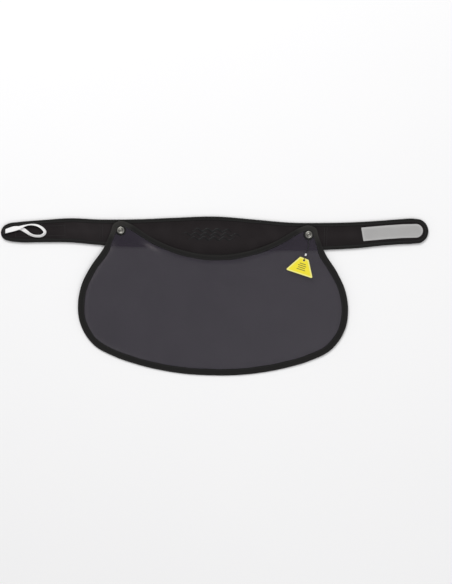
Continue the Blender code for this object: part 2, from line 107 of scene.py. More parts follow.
# Outlines in millimetres, smoothed through these points as in the CAD
BAND_TOP = [
    (299, 27.7), (278, 26.6), (250, 23.8), (212, 20.6), (172, 18.6), (112, 17.6), (60, 20.8),
    (0, 24.0), (-60, 20.8), (-112, 17.4), (-172, 15.6), (-218, 16.3), (-258, 12.8), (-296, 8.7),
]
BAND_LEFT_END = [(-308, 6.8), (-316, 2.4), (-320, -4.6), (-319.6, -12), (-315, -17.4), (-307, -20)]
BAND_BOTTOM = [
    (-294, -21.3), (-258, -20.6), (-218, -19.9), (-172, -22.7), (-130, -24.2), (-96, -24.2),
    (-60, -30.5), (-28, -36.6), (0, -38.4), (28, -36.6), (60, -30.5), (96, -24.2),
    (130, -24.0), (172, -21.8), (212, -18.8), (250, -14.0), (278, -11.2), (297, -9.9),
]
BAND_RIGHT_END = {"centre": (301.2, 9.0), "radius": 18.8, "turns": (-60, -30, 0, 30, 60)}
VISOR_HALF = [
    (19, -33.2), (45, -28.6), (73, -19.5), (95, -9.3), (115, 3.0), (128, 10.4), (141, 13.8),
    (151.5, 9.0), (155.6, -2.7), (166, -27.5), (184, -54.5), (197.3, -82), (202.4, -113),
    (200, -135.6), (192.6, -153.6), (178.4, -171.7), (145, -189.8), (116, -199.2),
    (70, -209.2), (36, -213.2),
]
VISOR_TOP = (0, -34.2)
VISOR_BOTTOM = (0, -214.3)
HOOK_LINE = [(221, 2.4), (257, 6.4), (281, 8.6), (301.4, 9.6)]
HOOK_HALF = 10.2
LOOP_LINE = [(-223, -1.9), (-258, -3.9), (-300, -6.4)]
LOOP_HALF = 8.8
STRIP_SLANT = 0.8

# Cord routes, as in the CAD.  The storage loop's flat elastic has x, y, the millimetres that it is
# lifted and the degrees that it leans towards its edge.  The tag's string has points in the plane
# of the visor.
ELASTIC_WIDTH = 5.5 * MM
ELASTIC_THICK = 1.4 * MM
ELASTIC_RIBS = 7
ELASTIC_RELIEF = 0.05 * MM
ELASTIC_REST = BAND_TOP_Z + 0.3 * MM
LOOP_ROUTE = [
    (-314.4, -5.7, 0, 0), (-308, -3.2, 0, 0), (-303.3, -1.3, 0, 0), (-298.8, -0.3, 0, 0),
    (-294.4, -0.2, 0, 0), (-290.2, -0.8, 0, 0), (-286, -2.7, 0, 6), (-281.4, -5.7, 0, 25),
    (-276.5, -9.0, 0, 45), (-271, -11.2, 0, 53), (-265, -11.8, 0, 53), (-259.6, -11.2, 0, 53),
    (-255.6, -8.9, 0, 50), (-254, -5.4, 0, 46), (-256, -1.9, 0, 46), (-260, 1.6, 0, 52),
    (-265.4, 4.2, 0, 60), (-272.1, 5.3, 0, 70), (-278.9, 4.8, 0, 76), (-284.5, 3.3, 0.3, 64),
    (-289.6, 1.3, 1.2, 44), (-294.5, -0.7, 1.9, 20), (-299, -2.1, 1.9, 5),
    (-303.5, -3.4, 1.9, 0), (-308, -4.6, 1.9, 0), (-314.4, -6.3, 1.9, 0),
]
STRING = 0.9 * MM
STRING_ROUTE = [
    (139.7, -6.6, 1.05), (140.1, -9, 1.05), (140.4, -11.6, 1.1), (140.6, -14.2, 1.2),
    (140.6, -16.8, 1.4), (140.4, -19.4, 1.65), (139.8, -21.9, 1.95), (138.9, -24.3, 2.2),
    (137.9, -26.6, 2.35), (137.1, -28.9, 2.42), (136.6, -31.2, 2.45), (136, -33.4, 2.5),
    (135.4, -35.4, 2.5), (134.8, -37.1, 2.25), (134.4, -38.3, 1.5), (134.3, -38.7, 1.0),
]

# Hang tag, in the plane of the visor, in millimetres
TAG_CORNERS = [(107.2, -52.9), (148.0, -65.4), (141.3, -37.7), (128.7, -33.2)]
TAG_HOLE = (134.4, -38.6)
TAG_LOW, TAG_HIGH = 1.3, 1.8
LOCK_CENTRE = Vector((136.8, -30.2, 2.6))


# ---- shapes and curves

def smooth_step(value, low, high):
    share = np.clip((value - low) / (high - low), 0, 1)
    return share * share * (3 - 2 * share)


def ripple(x, y, size):
    """Smooth uneven waves of about the given size, from -1 to 1."""
    a, b = x / size * TURN, y / size * TURN
    first = np.sin(a + 1.3 * np.sin(0.61 * b + 0.4))
    second = np.sin(0.77 * b + 1.7 * np.sin(0.43 * a + 1.1))
    return (first + second) / 2


def curve_through(points, steps, closed):
    """A smooth curve through the points: cubic spans whose slopes come from their neighbours."""
    points = [Vector(point) for point in points]
    count = len(points)
    slopes = []
    for i, here in enumerate(points):
        before = points[i - 1] if closed or i else here
        after = points[(i + 1) % count] if closed or i < count - 1 else here
        back, ahead = (here - before).length, (after - here).length
        if not back:
            slopes.append((after - here) / ahead)
        elif not ahead:
            slopes.append((here - before) / back)
        else:
            mixed = (after - here) * back / ahead + (here - before) * ahead / back
            slopes.append(mixed / (back + ahead))
    curve = []
    for i in range(count if closed else count - 1):
        a, b = points[i], points[(i + 1) % count]
        span = (b - a).length
        for t in np.arange(steps) / steps:
            curve.append(
                a * (2 * t**3 - 3 * t**2 + 1)
                + slopes[i] * span * (t**3 - 2 * t**2 + t)
                + b * (3 * t**2 - 2 * t**3)
                + slopes[(i + 1) % count] * span * (t**3 - t**2)
            )
    if not closed:
        curve.append(points[-1])
    return np.array(curve)


def lengths_along(line, closed):
    """The distance along a line to each of its points, and its whole length."""
    after = np.roll(line, -1, axis=0) if closed else line[1:]
    steps = np.linalg.norm(after - line[: len(after)], axis=1)
    along = np.concatenate([[0], np.cumsum(steps)])
    return along, along[-1]


def evenly(line, spacing, closed):
    """The same line with its points an even distance apart."""
    along, whole = lengths_along(line, closed)
    ends = np.vstack([line, line[:1]]) if closed else line
    count = max(round(whole / spacing), 2)
    spots = np.linspace(0, whole, count + 1)
    if closed:
        spots = spots[:-1]
    return np.stack([np.interp(spots, along, ends[:, k]) for k in range(line.shape[1])], axis=1)


def headings(line, closed):
    """The direction of travel at each point of a line."""
    if closed:
        ways = np.roll(line, -1, axis=0) - np.roll(line, 1, axis=0)
    else:
        ways = np.gradient(line, axis=0)
    return ways / np.linalg.norm(ways, axis=1)[:, None]


def inward(outline):
    """The inward direction at each point of a counter-clockwise outline."""
    ahead = headings(outline, closed=True)
    return np.stack([-ahead[:, 1], ahead[:, 0]], axis=1)


def shrunk(outline, distance):
    return outline + inward(outline) * distance


def band_outline():
    """The band's edge, counter-clockwise from the right end's lower side."""
    x, y = BAND_RIGHT_END["centre"]
    radius = BAND_RIGHT_END["radius"]
    turns = [math.radians(turn) for turn in BAND_RIGHT_END["turns"]]
    end = [(x + radius * math.cos(turn), y + radius * math.sin(turn)) for turn in turns]
    return curve_through(end + BAND_TOP + BAND_LEFT_END + BAND_BOTTOM, 12, closed=True) * MM


def visor_outline():
    """The visor's edge, counter-clockwise from the middle of its upper edge."""
    left = [(-x, y) for x, y in VISOR_HALF]
    points = [VISOR_TOP] + left + [VISOR_BOTTOM] + VISOR_HALF[::-1]
    return curve_through(points, 12, closed=True) * MM


def strip_outline(line, half, slant, round_end):
    """A strip of tape along a line, its first end slanted and its last end square or round."""
    points = [Vector(point) for point in line]
    ahead = (points[-1] - points[-2]).normalized()
    across = Vector((-ahead.y, ahead.x))
    first = (points[1] - points[0]).normalized()
    first_across = Vector((-first.y, first.x))
    lower = [points[0] - first_across * half + first * slant]
    upper = [points[0] + first_across * half - first * slant]
    lower += [middle - across * half for middle in points[1:]]
    upper += [middle + across * half for middle in points[1:]]
    turns = np.radians(np.arange(-80, 81, 10)) if round_end else []
    end = [points[-1] + (ahead * math.cos(turn) + across * math.sin(turn)) * half for turn in turns]
    return np.array(lower + end + upper[::-1]) * MM


def rounded(corners, radius, steps=6):
    """A polygon with its corners rounded off by short arcs."""
    outline = []
    corners = [Vector(corner) for corner in corners]
    for i, corner in enumerate(corners):
        arrive = (corners[i - 1] - corner).normalized()
        leave = (corners[(i + 1) % len(corners)] - corner).normalized()
        half_angle = arrive.angle(leave) / 2
        cut = radius / math.tan(half_angle)
        centre = corner + (arrive + leave).normalized() * radius / math.sin(half_angle)
        start, end = corner + arrive * cut - centre, corner + leave * cut - centre
        for step in range(steps + 1):
            outline.append(centre + start.lerp(end, step / steps).normalized() * radius)
    return np.array(outline)


# ---- meshes

def mesh_of(name, points, faces, uvs=None, tones=None, crease=40):
    """A smooth-shaded mesh.  uvs are (metres, metres) for each corner or for each point, and tones
    say how far each point's colour is from plain (0) to the material's tone colour (1): painted
    highlight on raised cloth, tape folds and film, painted shade in the stud caps, and paler tape
    round the studs."""
    mesh = bpy.data.meshes.new(name)
    mesh.from_pydata([tuple(point) for point in points], [], [list(face) for face in faces])
    corners = np.empty(len(mesh.loops), np.int32)
    mesh.loops.foreach_get("vertex_index", corners)
    points = np.asarray(points, float)
    if uvs is None:
        uvs = points[:, :2]
    if len(uvs) == len(points):
        uvs = uvs[corners]
    layer = mesh.uv_layers.new(name="weave")
    layer.data.foreach_set("uv", np.asarray(uvs, np.float32).ravel())
    tone = mesh.attributes.new("tone", "FLOAT", "POINT")
    tones = np.zeros(len(points)) if tones is None else tones
    tone.data.foreach_set("value", np.asarray(tones, np.float32))
    mesh.shade_smooth()
    mesh.set_sharp_from_angle(angle=math.radians(crease))
    mesh.validate()
    return mesh


def parts_of(shape):
    """A bmesh's points and faces, with its faces turned to point out.  The bmesh is freed."""
    bmesh.ops.recalc_face_normals(shape, faces=shape.faces)
    shape.verts.index_update()
    points = np.array([vert.co for vert in shape.verts])
    faces = [[vert.index for vert in face.verts] for face in shape.faces]
    shape.free()
    return points, faces


def outward(mesh):
    """Turns a closed mesh's faces so that all point out."""
    shape = bmesh.new()
    shape.from_mesh(mesh)
    bmesh.ops.recalc_face_normals(shape, faces=shape.faces)
    shape.to_mesh(mesh)
    shape.free()
    return mesh


def cells_of(outline, cell):
    """A flat outline cut into square cells: its points, its faces and its directed rim edges."""
    shape = bmesh.new()
    shape.faces.new([shape.verts.new((x, y, 0)) for x, y in outline])
    for axis, way in enumerate(((1, 0, 0), (0, 1, 0))):
        low, high = outline[:, axis].min(), outline[:, axis].max()
        for k in range(math.ceil(low / cell), math.floor(high / cell) + 1):
            everything = shape.verts[:] + shape.edges[:] + shape.faces[:]
            spot = Vector(way) * k * cell
            bmesh.ops.bisect_plane(shape, geom=everything, dist=1e-6, plane_co=spot, plane_no=way)
    shape.verts.index_update()
    points = np.array([vert.co[:2] for vert in shape.verts])
    faces = [[vert.index for vert in face.verts] for face in shape.faces]
    rim = []
    for edge in shape.edges:
        if edge.is_boundary:
            loop = edge.link_loops[0]
            rim.append((loop.vert.index, loop.link_loop_next.vert.index))
    shape.free()
    return points, faces, rim


def depth_inside(points, outline):
    """How far each point is inside the outline, and negative where it is outside."""
    dense = evenly(outline, 0.4 * MM, closed=True)
    tree = KDTree(len(dense))
    for i, (x, y) in enumerate(dense):
        tree.insert((x, y, 0), i)
    tree.balance()
    depth = np.array([tree.find((x, y, 0))[2] for x, y in points])
    inside = np.zeros(len(depth), bool)
    x, y = np.asarray(points).T
    for (ax, ay), (bx, by) in zip(outline, np.roll(outline, 1, axis=0)):
        if ay != by:
            crossing = (ay > y) != (by > y)
            inside ^= crossing & (x < ax + (y - ay) / (by - ay) * (bx - ax))
    return np.where(inside, depth, -depth)


def sheet_mesh(name, outline, cell, low, top, edge=None, tone=None):
    """A closed sheet between two surfaces.  low, top and tone are functions of x, y and the depth
    inside edge, which is the outline unless another is given."""
    points, faces, rim = cells_of(outline, cell)
    depth = depth_inside(points, outline if edge is None else edge)
    x, y = points.T
    count = len(points)
    upper = np.column_stack([points, top(x, y, depth) + 0 * x])
    lower = np.column_stack([points, low(x, y, depth) + 0 * x])
    under = [[i + count for i in face[::-1]] for face in faces]
    walls = [(a + count, b + count, b, a) for a, b in rim]
    tones = None if tone is None else np.tile(tone(x, y, depth), 2)
    return outward(mesh_of(name, np.vstack([upper, lower]), faces + under + walls, tones=tones))


def ring_mesh(name, line, ways, profiles, tones):
    """A closed profile of (depth, height) for each point of a closed line, joined all round it."""
    count, sides = profiles.shape[:2]
    points = np.empty((count, sides, 3))
    points[:, :, :2] = line[:, None] + ways[:, None] * profiles[:, :, :1]
    points[:, :, 2] = profiles[:, :, 1]
    i, j = np.meshgrid(np.arange(count), np.arange(sides), indexing="ij")
    corners = [(i, j), (i + 1, j), (i + 1, j + 1), (i, j + 1)]
    faces = np.stack([(a % count) * sides + b % sides for a, b in corners], axis=-1)
    along = lengths_along(line, closed=True)[0]
    around = lengths_along(profiles[0], closed=True)[0]
    uvs = np.stack([np.stack([along[a], around[b]], axis=-1) for a, b in corners], axis=-2)
    points, faces, uvs = points.reshape(-1, 3), faces.reshape(-1, 4), uvs.reshape(-1, 2)
    return outward(mesh_of(name, points, faces, uvs, tones.ravel()))


def frames_along(line):
    """Two directions across a line at each point, turning as little as they can along it."""
    ahead = headings(line, closed=False)
    side = np.cross(ahead[0], (0, 0, 1))
    sides = []
    for way in ahead:
        side = side - way * (side @ way)
        side = side / np.linalg.norm(side)
        sides.append(side)
    sides = np.array(sides)
    return sides, np.cross(sides, ahead)


def grid_faces(corners, sides):
    """Faces between sections of so many sides, from the (section, side) of their corners."""
    return np.stack([a * sides + b % sides for a, b in corners], axis=-1).reshape(-1, 4).tolist()


def end_caps(count, sides):
    return [list(range(sides)), list(range((count - 1) * sides, count * sides))]


def swept_mesh(name, line, aside, above):
    """A capped solid along a line: aside and above give each section's corners from the line."""
    count, sides = aside.shape
    first, second = frames_along(line)
    points = line[:, None] + first[:, None] * aside[..., None] + second[:, None] * above[..., None]
    points = points.reshape(-1, 3)
    i, j = np.meshgrid(np.arange(count - 1), np.arange(sides), indexing="ij")
    corners = [(i, j), (i, j + 1), (i + 1, j + 1), (i + 1, j)]
    faces = grid_faces(corners, sides) + end_caps(count, sides)
    along = lengths_along(line, closed=False)[0]
    round_it = lengths_along(np.column_stack([aside[0], above[0]]), closed=False)[0]
    uvs = np.column_stack([np.repeat(along, sides), np.tile(round_it, count)])
    return outward(mesh_of(name, points, faces, uvs))


def tube_mesh(name, line, radii):
    """A capped tube along a line, with a radius for each point and each side of it."""
    angles = np.arange(radii.shape[1]) / radii.shape[1] * TURN
    return swept_mesh(name, line, radii * np.cos(angles), radii * np.sin(angles))


def turned_mesh(name, profile, sides, bored=False, tone=None):
    """A profile of (radius, height) in millimetres turned about Z, with tones from the radius."""
    shape = bmesh.new()
    rings = []
    for radius, z in profile:
        turns = [TURN * k / sides for k in range(sides if radius else 1)]
        reach = radius * MM
        ring = [(reach * math.cos(turn), reach * math.sin(turn), z * MM) for turn in turns]
        rings.append([shape.verts.new(point) for point in ring])
    pairs = list(zip(rings, rings[1:])) + ([(rings[-1], rings[0])] if bored else [])
    for this, following in pairs:
        for k in range(sides):
            corners = [
                this[k % len(this)], this[(k + 1) % len(this)],
                following[(k + 1) % len(following)], following[k % len(following)],
            ]
            shape.faces.new(list(dict.fromkeys(corners)))
    points, faces = parts_of(shape)
    tones = tone(np.hypot(points[:, 0], points[:, 1])) if tone else None
    return mesh_of(name, points, faces, tones=tones, crease=30)


def pierced_mesh(name, loops, low, top):
    """A flat plate with the first loop as its outline and the others as holes."""
    shape = bmesh.new()
    edges = []
    for loop in loops:
        verts = [shape.verts.new((x, y, low)) for x, y in loop]
        edges += [shape.edges.new(pair) for pair in zip(verts, verts[1:] + verts[:1])]
    bmesh.ops.triangle_fill(shape, edges=edges, use_beauty=True)
    raised = bmesh.ops.extrude_face_region(shape, geom=shape.faces[:])["geom"]
    raised = [part for part in raised if isinstance(part, bmesh.types.BMVert)]
    bmesh.ops.translate(shape, vec=(0, 0, top - low), verts=raised)
    return mesh_of(name, *parts_of(shape), crease=30)


def copies_mesh(name, template, spots, ways):
    """One mesh of many small copies: each at a spot, turned so that its X follows a flat way."""
    shape_points, shape_faces = template
    count = len(shape_points)
    ahead = np.column_stack([ways, np.zeros(len(ways))])
    side = np.cross((0, 0, 1), ahead)
    side /= np.linalg.norm(side, axis=1)[:, None]
    up = np.cross(ahead, side)
    turns = np.stack([ahead, side, up], axis=2)
    points = np.einsum("nij,pj->npi", turns, shape_points) + spots[:, None]
    faces = [[i + k * count for i in face] for k in range(len(spots)) for face in shape_faces]
    return mesh_of(name, points.reshape(-1, 3), faces, crease=60)


def span_of(mesh, low, high, name):
    """The part of a closed mesh between two planes across X, closed again where it was cut."""
    shape = bmesh.new()
    shape.from_mesh(mesh)
    for x, way in ((low, -1), (high, 1)):
        if x is None:
            continue
        everything = shape.verts[:] + shape.edges[:] + shape.faces[:]
        cut = bmesh.ops.bisect_plane(
            shape, geom=everything, dist=1e-7, plane_co=(x, 0, 0), plane_no=(way, 0, 0),
            clear_outer=True,
        )["geom_cut"]
        rims = [part for part in cut if isinstance(part, bmesh.types.BMEdge)]
        bmesh.ops.edgeloop_fill(shape, edges=rims)
    bmesh.ops.recalc_face_normals(shape, faces=shape.faces)
    part = bpy.data.meshes.new(name)
    shape.to_mesh(part)
    shape.free()
    part.shade_smooth()
    part.set_sharp_from_angle(angle=math.radians(40))
    return part


# ---- small repeated shapes

def bent_wire(line, radius, sides):
    """A short capped wire, as points and faces, for copies_mesh."""
    line = np.asarray(line, float)
    mesh = tube_mesh("wire", line, np.full((len(line), sides), radius))
    points = np.array([vert.co for vert in mesh.vertices])
    faces = [list(face.vertices) for face in mesh.polygons]
    bpy.data.meshes.remove(mesh)
    return points, faces


def stitch_shape(length, thick):
    """One stitch of thread: it comes up out of the cloth, runs along it and dips back in."""
    shares = np.array([-0.5, -0.42, -0.25, 0, 0.25, 0.42, 0.5])
    rise = np.array([-1.0, -0.15, 0.3, 0.42, 0.3, -0.15, -1.0])
    line = np.column_stack([shares * length, 0 * shares, rise * thick / 2])
    return bent_wire(line, thick / 2, 6)


# ---- materials

def node_of(tree, kind, inputs=None, **settings):
    made = tree.nodes.new(kind)
    for key, value in settings.items():
        setattr(made, key, value)
    for key, value in (inputs or {}).items():
        if isinstance(value, bpy.types.NodeSocket):
            tree.links.new(value, made.inputs[key])
        else:
            made.inputs[key].default_value = value
    return made


def math_of(tree, operation, first, second=0.0):
    return node_of(tree, "ShaderNodeMath", {0: first, 1: second}, operation=operation).outputs[0]


def wave_of(tree, place, direction, period):
    """Slightly uneven ribs across a direction of the weave, a period apart."""
    inputs = {
        "Vector": place, "Scale": math.pi / 10 / period, "Distortion": 0.6,
        "Detail": 1.0, "Detail Scale": 0.5,
    }
    made = node_of(tree, "ShaderNodeTexWave", inputs, wave_type="BANDS", bands_direction=direction)
    return made.outputs["Fac"]


def noise_of(tree, place, size, detail):
    inputs = {"Vector": place, "Scale": 1 / size, "Detail": detail}
    return node_of(tree, "ShaderNodeTexNoise", inputs).outputs["Fac"]


def tone_of(tree):
    return node_of(tree, "ShaderNodeAttribute", attribute_name="tone").outputs["Fac"]


def mixed_colour(tree, share, first, second):
    made = node_of(tree, "ShaderNodeMix", {0: share}, data_type="RGBA")
    for socket, colour in ((6, first), (7, second)):
        if isinstance(colour, bpy.types.NodeSocket):
            tree.links.new(colour, made.inputs[socket])
        else:
            made.inputs[socket].default_value = (*colour, 1)
    return made.outputs[2]


def base_material(name, **plain):
    """A material with its own Principled sockets set, and the coordinates that its pattern uses."""
    made = bpy.data.materials.new(name)
    made.use_nodes = True
    tree = made.node_tree
    shader = tree.nodes["Principled BSDF"]
    for key, value in plain.items():
        shader.inputs[key.replace("_", " ").title().replace("Ior", "IOR")].default_value = value
    place = node_of(tree, "ShaderNodeUVMap", uv_map="weave").outputs[0]
    return made, tree, shader, place


def ranged(tree, value, low, high):
    inputs = {"Value": value, "To Min": low, "To Max": high}
    return node_of(tree, "ShaderNodeMapRange", inputs).outputs[0]


def surfaced(made, tree, shader, colour, roughness, height, relief):
    """Links a material's colour, roughness and bump, and gives the material back."""
    bump = node_of(tree, "ShaderNodeBump", {"Height": height, "Distance": relief})
    tree.links.new(colour, shader.inputs["Base Color"])
    tree.links.new(roughness, shader.inputs["Roughness"])
    tree.links.new(bump.outputs[0], shader.inputs["Normal"])
    return made


def cloth_material(name, dark, light, pale_and_highlight, periods, relief, rough=(0.82, 0.95), specular=0.12):
    """Woven cloth: two sets of threads, slow colour changes, and paler cloth where tone is high,
    which is painted highlight on raised cloth and on tape folds, and paler tape round the press
    studs.
    """
    made, tree, shader, place = base_material(
        name, specular_ior_level=specular, sheen_weight=0.04, sheen_roughness=0.5
    )

    def scaled(value, factor):
        return math_of(tree, "MULTIPLY", value, factor)

    along, across = (wave_of(tree, place, way, period * MM) for way, period in zip("XY", periods))
    threads = scaled(math_of(tree, "ADD", along, across), 0.5)
    patches = noise_of(tree, place, 22 * MM, 4.0)
    fibres = noise_of(tree, place, 0.35 * MM, 2.0)
    share = math_of(tree, "ADD", scaled(threads, 0.45), scaled(patches, 0.55))
    cloth = mixed_colour(tree, share, dark, light)
    # Where tone is high the cloth turns paler: painted highlight on the crown and on tape folds,
    # and paler tape round the press studs.
    pale_and_highlight_share = scaled(tone_of(tree), ranged(tree, patches, 0.6, 1.3))
    height = math_of(tree, "ADD", threads, scaled(fibres, 0.4))
    colour = mixed_colour(tree, pale_and_highlight_share, cloth, pale_and_highlight)
    return surfaced(made, tree, shader, colour, ranged(tree, fibres, *rough), height, relief * MM)


def film_material():
    """Smoked soft plastic film: dark, glossy and half see-through, with faint smears, and paler
    painted highlights where tone is high.
    """
    made, tree, shader, place = base_material(
        "smoked_film", alpha=0.6, ior=1.5, specular_ior_level=0.45
    )
    smears = noise_of(tree, place, 45 * MM, 5.0)
    grain = noise_of(tree, place, 1.1 * MM, 2.0)
    base = mixed_colour(tree, smears, (0.0117, 0.0069, 0.0182), (0.0207, 0.0141, 0.0277))
    # Where tone is high the film is paler: painted highlights.
    colour = mixed_colour(tree, tone_of(tree), base, (0.14, 0.125, 0.135))
    return surfaced(made, tree, shader, colour, ranged(tree, smears, 0.30, 0.48), grain, 0.02 * MM)


def metal_material():
    """Satin nickel with fine scratches and duller patches, and painted shade where tone is high."""
    made, tree, shader, _ = base_material("nickel", metallic=1.0)
    place = node_of(tree, "ShaderNodeTexCoord").outputs["Object"]
    patches = noise_of(tree, place, 2.5 * MM, 4.0)
    scratches = noise_of(tree, place, 0.25 * MM, 2.0)
    base = mixed_colour(tree, patches, (0.20, 0.196, 0.176), (0.31, 0.305, 0.28))
    # Where tone is high the nickel is darker: painted shade in the cap's recess and dimple.
    colour = mixed_colour(tree, tone_of(tree), base, (0.07, 0.068, 0.06))
    rough = ranged(tree, patches, 0.24, 0.42)
    return surfaced(made, tree, shader, colour, rough, scratches, 0.02 * MM)


def plastic_material(name, first, second, rough, grain, relief, **plain):
    """Moulded plastic, card or thread: slow colour changes and a fine grain."""
    made, tree, shader, place = base_material(name, **plain)
    colour = mixed_colour(tree, noise_of(tree, place, 6 * MM, 3.0), first, second)
    fine = noise_of(tree, place, grain * MM, 2.0)
    return surfaced(made, tree, shader, colour, ranged(tree, fine, *rough), fine, relief * MM)


def floor_material():
    made, tree, shader, _ = base_material("floor_paper", roughness=0.9, specular_ior_level=0.1)
    place = node_of(tree, "ShaderNodeTexCoord").outputs["Object"]
    patches = noise_of(tree, place, 0.4, 2.0)
    colour = mixed_colour(tree, patches, (0.93, 0.93, 0.93), (0.95, 0.95, 0.948))
    tree.links.new(colour, shader.inputs["Base Color"])
    return made


def all_materials():
    """Every look.  A cloth has its dark, light and paler colours, its threads' two periods and its
    relief in millimetres; a plastic has two colours, its roughness, and its grain and relief in
    millimetres.  The band's and tapes' paler colour is painted highlight on the crown and tape
    folds, and paler tape round the press studs."""
    matt, thread = {"rough": (0.9, 1.0)}, {"specular_ior_level": 0.2}
    cloths = {
        # The third colour of the shell and the tape is painted highlight where tone is high, and
        # paler tape round the press studs.
        "shell": (
            "band_fabric", (0.0105, 0.0085, 0.009), (0.0165, 0.0136, 0.0143),
            (0.026, 0.022, 0.023), (0.55, 0.5), 0.06, {},
        ),
        "lining": (
            "lining_fabric", (0.016, 0.0155, 0.016), (0.026, 0.025, 0.026),
            (0.04, 0.039, 0.04), (0.9, 0.9), 0.10, matt,
        ),
        "tape": (
            "binding_tape", (0.0056, 0.0053, 0.005), (0.0098, 0.0094, 0.0088),
            (0.028, 0.0268, 0.0245), (0.42, 1.6), 0.07, {"rough": (0.65, 0.85), "specular": 0.2},
        ),
        "hook": (
            "hook_fabric", (0.39, 0.385, 0.38), (0.48, 0.475, 0.47), (0.58, 0.58, 0.58),
            (1.5, 1.2), 0.05, {"specular": 0.3},
        ),
        "loop": (
            "loop_fabric", (0.022, 0.022, 0.022), (0.04, 0.04, 0.04), (0.07, 0.07, 0.07),
            (1.1, 1.1), 0.1, matt,
        ),
        "elastic": (
            "elastic_cord", (0.86, 0.855, 0.85), (0.93, 0.925, 0.92), (0.95, 0.95, 0.95),
            (0.35, 0.35), 0.04, {"specular": 0.3},
        ),
    }
    plastics = {
        "thread": (
            "black_thread", (0.02, 0.02, 0.02), (0.035, 0.035, 0.035), (0.45, 0.65), 0.3, 0.04,
            thread,
        ),
        "grey_thread": (
            "grey_thread", (0.5, 0.5, 0.5), (0.6, 0.6, 0.59), (0.5, 0.7), 0.3, 0.04, thread,
        ),
        "print": (
            "rubber_print", (0.006, 0.006, 0.006), (0.009, 0.009, 0.0095), (0.35, 0.5), 0.6, 0.02,
            {"specular_ior_level": 0.15},
        ),
        "card": (
            "tag_border", (0.84, 0.79, 0.20), (0.88, 0.83, 0.26), (0.4, 0.55), 0.8, 0.01, {},
        ),
        "panel": (
            "tag_yellow", (0.84, 0.71, 0.012), (0.90, 0.77, 0.022), (0.4, 0.55), 0.8, 0.01, {},
        ),
        "ink": (
            "tag_ink", (0.11, 0.10, 0.018), (0.15, 0.13, 0.025), (0.5, 0.6), 0.5, 0.01, {},
        ),
        "string": (
            "tag_string", (0.008, 0.008, 0.008), (0.014, 0.014, 0.014), (0.6, 0.8), 0.2, 0.05, {},
        ),
        "lock": (
            "lock_plastic", (0.74, 0.75, 0.75), (0.82, 0.83, 0.83), (0.28, 0.4), 0.5, 0.01, {},
        ),
    }
    made = {"film": film_material(), "metal": metal_material()}
    for kind, looks in ((cloth_material, cloths), (plastic_material, plastics)):
        made.update({key: kind(*values, **settings) for key, (*values, settings) in looks.items()})
    return made


# ---- pieces

def piece(name, mesh, look):
    made = bpy.data.objects.new(name, mesh)
    bpy.context.scene.collection.objects.link(made)
    mesh.materials.clear()
    mesh.materials.append(look)
    return made


def in_visor(mesh):
    """Moves a flat mesh into the visor's sloping plane."""
    mesh.transform(VISOR_PLACE)
    return mesh


def bend_across(side, joint_x, reach):
    """Where the bend at a joint across X starts and ends."""
    return [Vector((side * x, 0, 0)) for x in (joint_x - reach[0], joint_x + reach[1])]


def band_regions():
    """Each span of the band: its name, where it starts and ends, and the bend in it."""
    regions = []
    for side, word in SIDES:
        before = "front_center"
        for part, near, far, joint_x, reach in (
            ("front", 0, FRONT_END, WRAP_X, WRAP_REACH),
            ("strap", FRONT_END, STRAP_END, STRAP_X, STRAP_REACH),
            ("tip", STRAP_END, None, TIP_X, STRAP_REACH),
        ):
            name = f"{word}_{part}"
            limits = [near * side, None if far is None else far * side]
            low, high = limits if side > 0 else limits[::-1]
            bend = (before, name, *bend_across(side, joint_x, reach))
            regions.append({"name": name, "low": low, "high": high, "bend": bend})
            before = name
    return regions


def visor_regions():
    """Each half's inner part, and its outer part up to the ear, with the bend in each."""
    regions = []
    spot, way, reach = EAR_BEND
    for side, word in SIDES:
        near, far = 0, side * EAR_START
        mirror = Vector((side, 1, 1))
        inner_bend = ("front_center", f"{word}_front", *bend_across(side, WRAP_X, WRAP_REACH))
        outer_bend = (f"{word}_front", f"{word}_ear", spot * mirror, (spot + way * reach) * mirror)
        for part, limits, bend in (
            ("inner", (near, far), inner_bend), ("outer", (far, None), outer_bend),
        ):
            low, high = limits if side > 0 else limits[::-1]
            regions.append({"name": f"{word}_{part}", "low": low, "high": high, "bend": bend})
    return regions


def only(regions, name):
    return [region for region in regions if region["name"] == name]


def sliced(label, mesh, look, regions):
    """A whole mesh cut into one piece for each region that it reaches."""
    made = {}
    for region in regions:
        name = f"{region['name']}_{label}"
        part = span_of(mesh, region["low"], region["high"], name)
        if len(part.polygons):
            made[region["name"]] = piece(name, part, look)
            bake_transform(made[region["name"]])
    bpy.data.meshes.remove(mesh)
    return made


def rows_by_region(label, template, spots, ways, look, regions, place=None):
    """Small copies, each on the piece of the region that holds its middle."""
    for region in regions:
        low = -math.inf if region["low"] is None else region["low"]
        high = math.inf if region["high"] is None else region["high"]
        here = (spots[:, 0] >= low) & (spots[:, 0] < high)
        if here.any():
            name = f"{region['name']}_{label}"
            mesh = copies_mesh(name, template, spots[here], ways[here])
            if place:
                mesh.transform(place)
            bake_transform(piece(name, mesh, look))


# ---- band

CROWN_RISE = 1.15 * MM
SEAMS = (-170 * MM, 166 * MM)
SEAM_HALF_GAP = 1.9 * MM
SEAM_PITCH = 3.1
PULL_PERIOD, DRIFT_PERIOD = 6.4 * MM, 41 * MM


def near_snap(x, y, size):
    """1 at either press stud, falling to 0 at about the given distance."""
    return np.exp(-((np.hypot(np.abs(x) - SNAP.x, y) / size) ** 4))


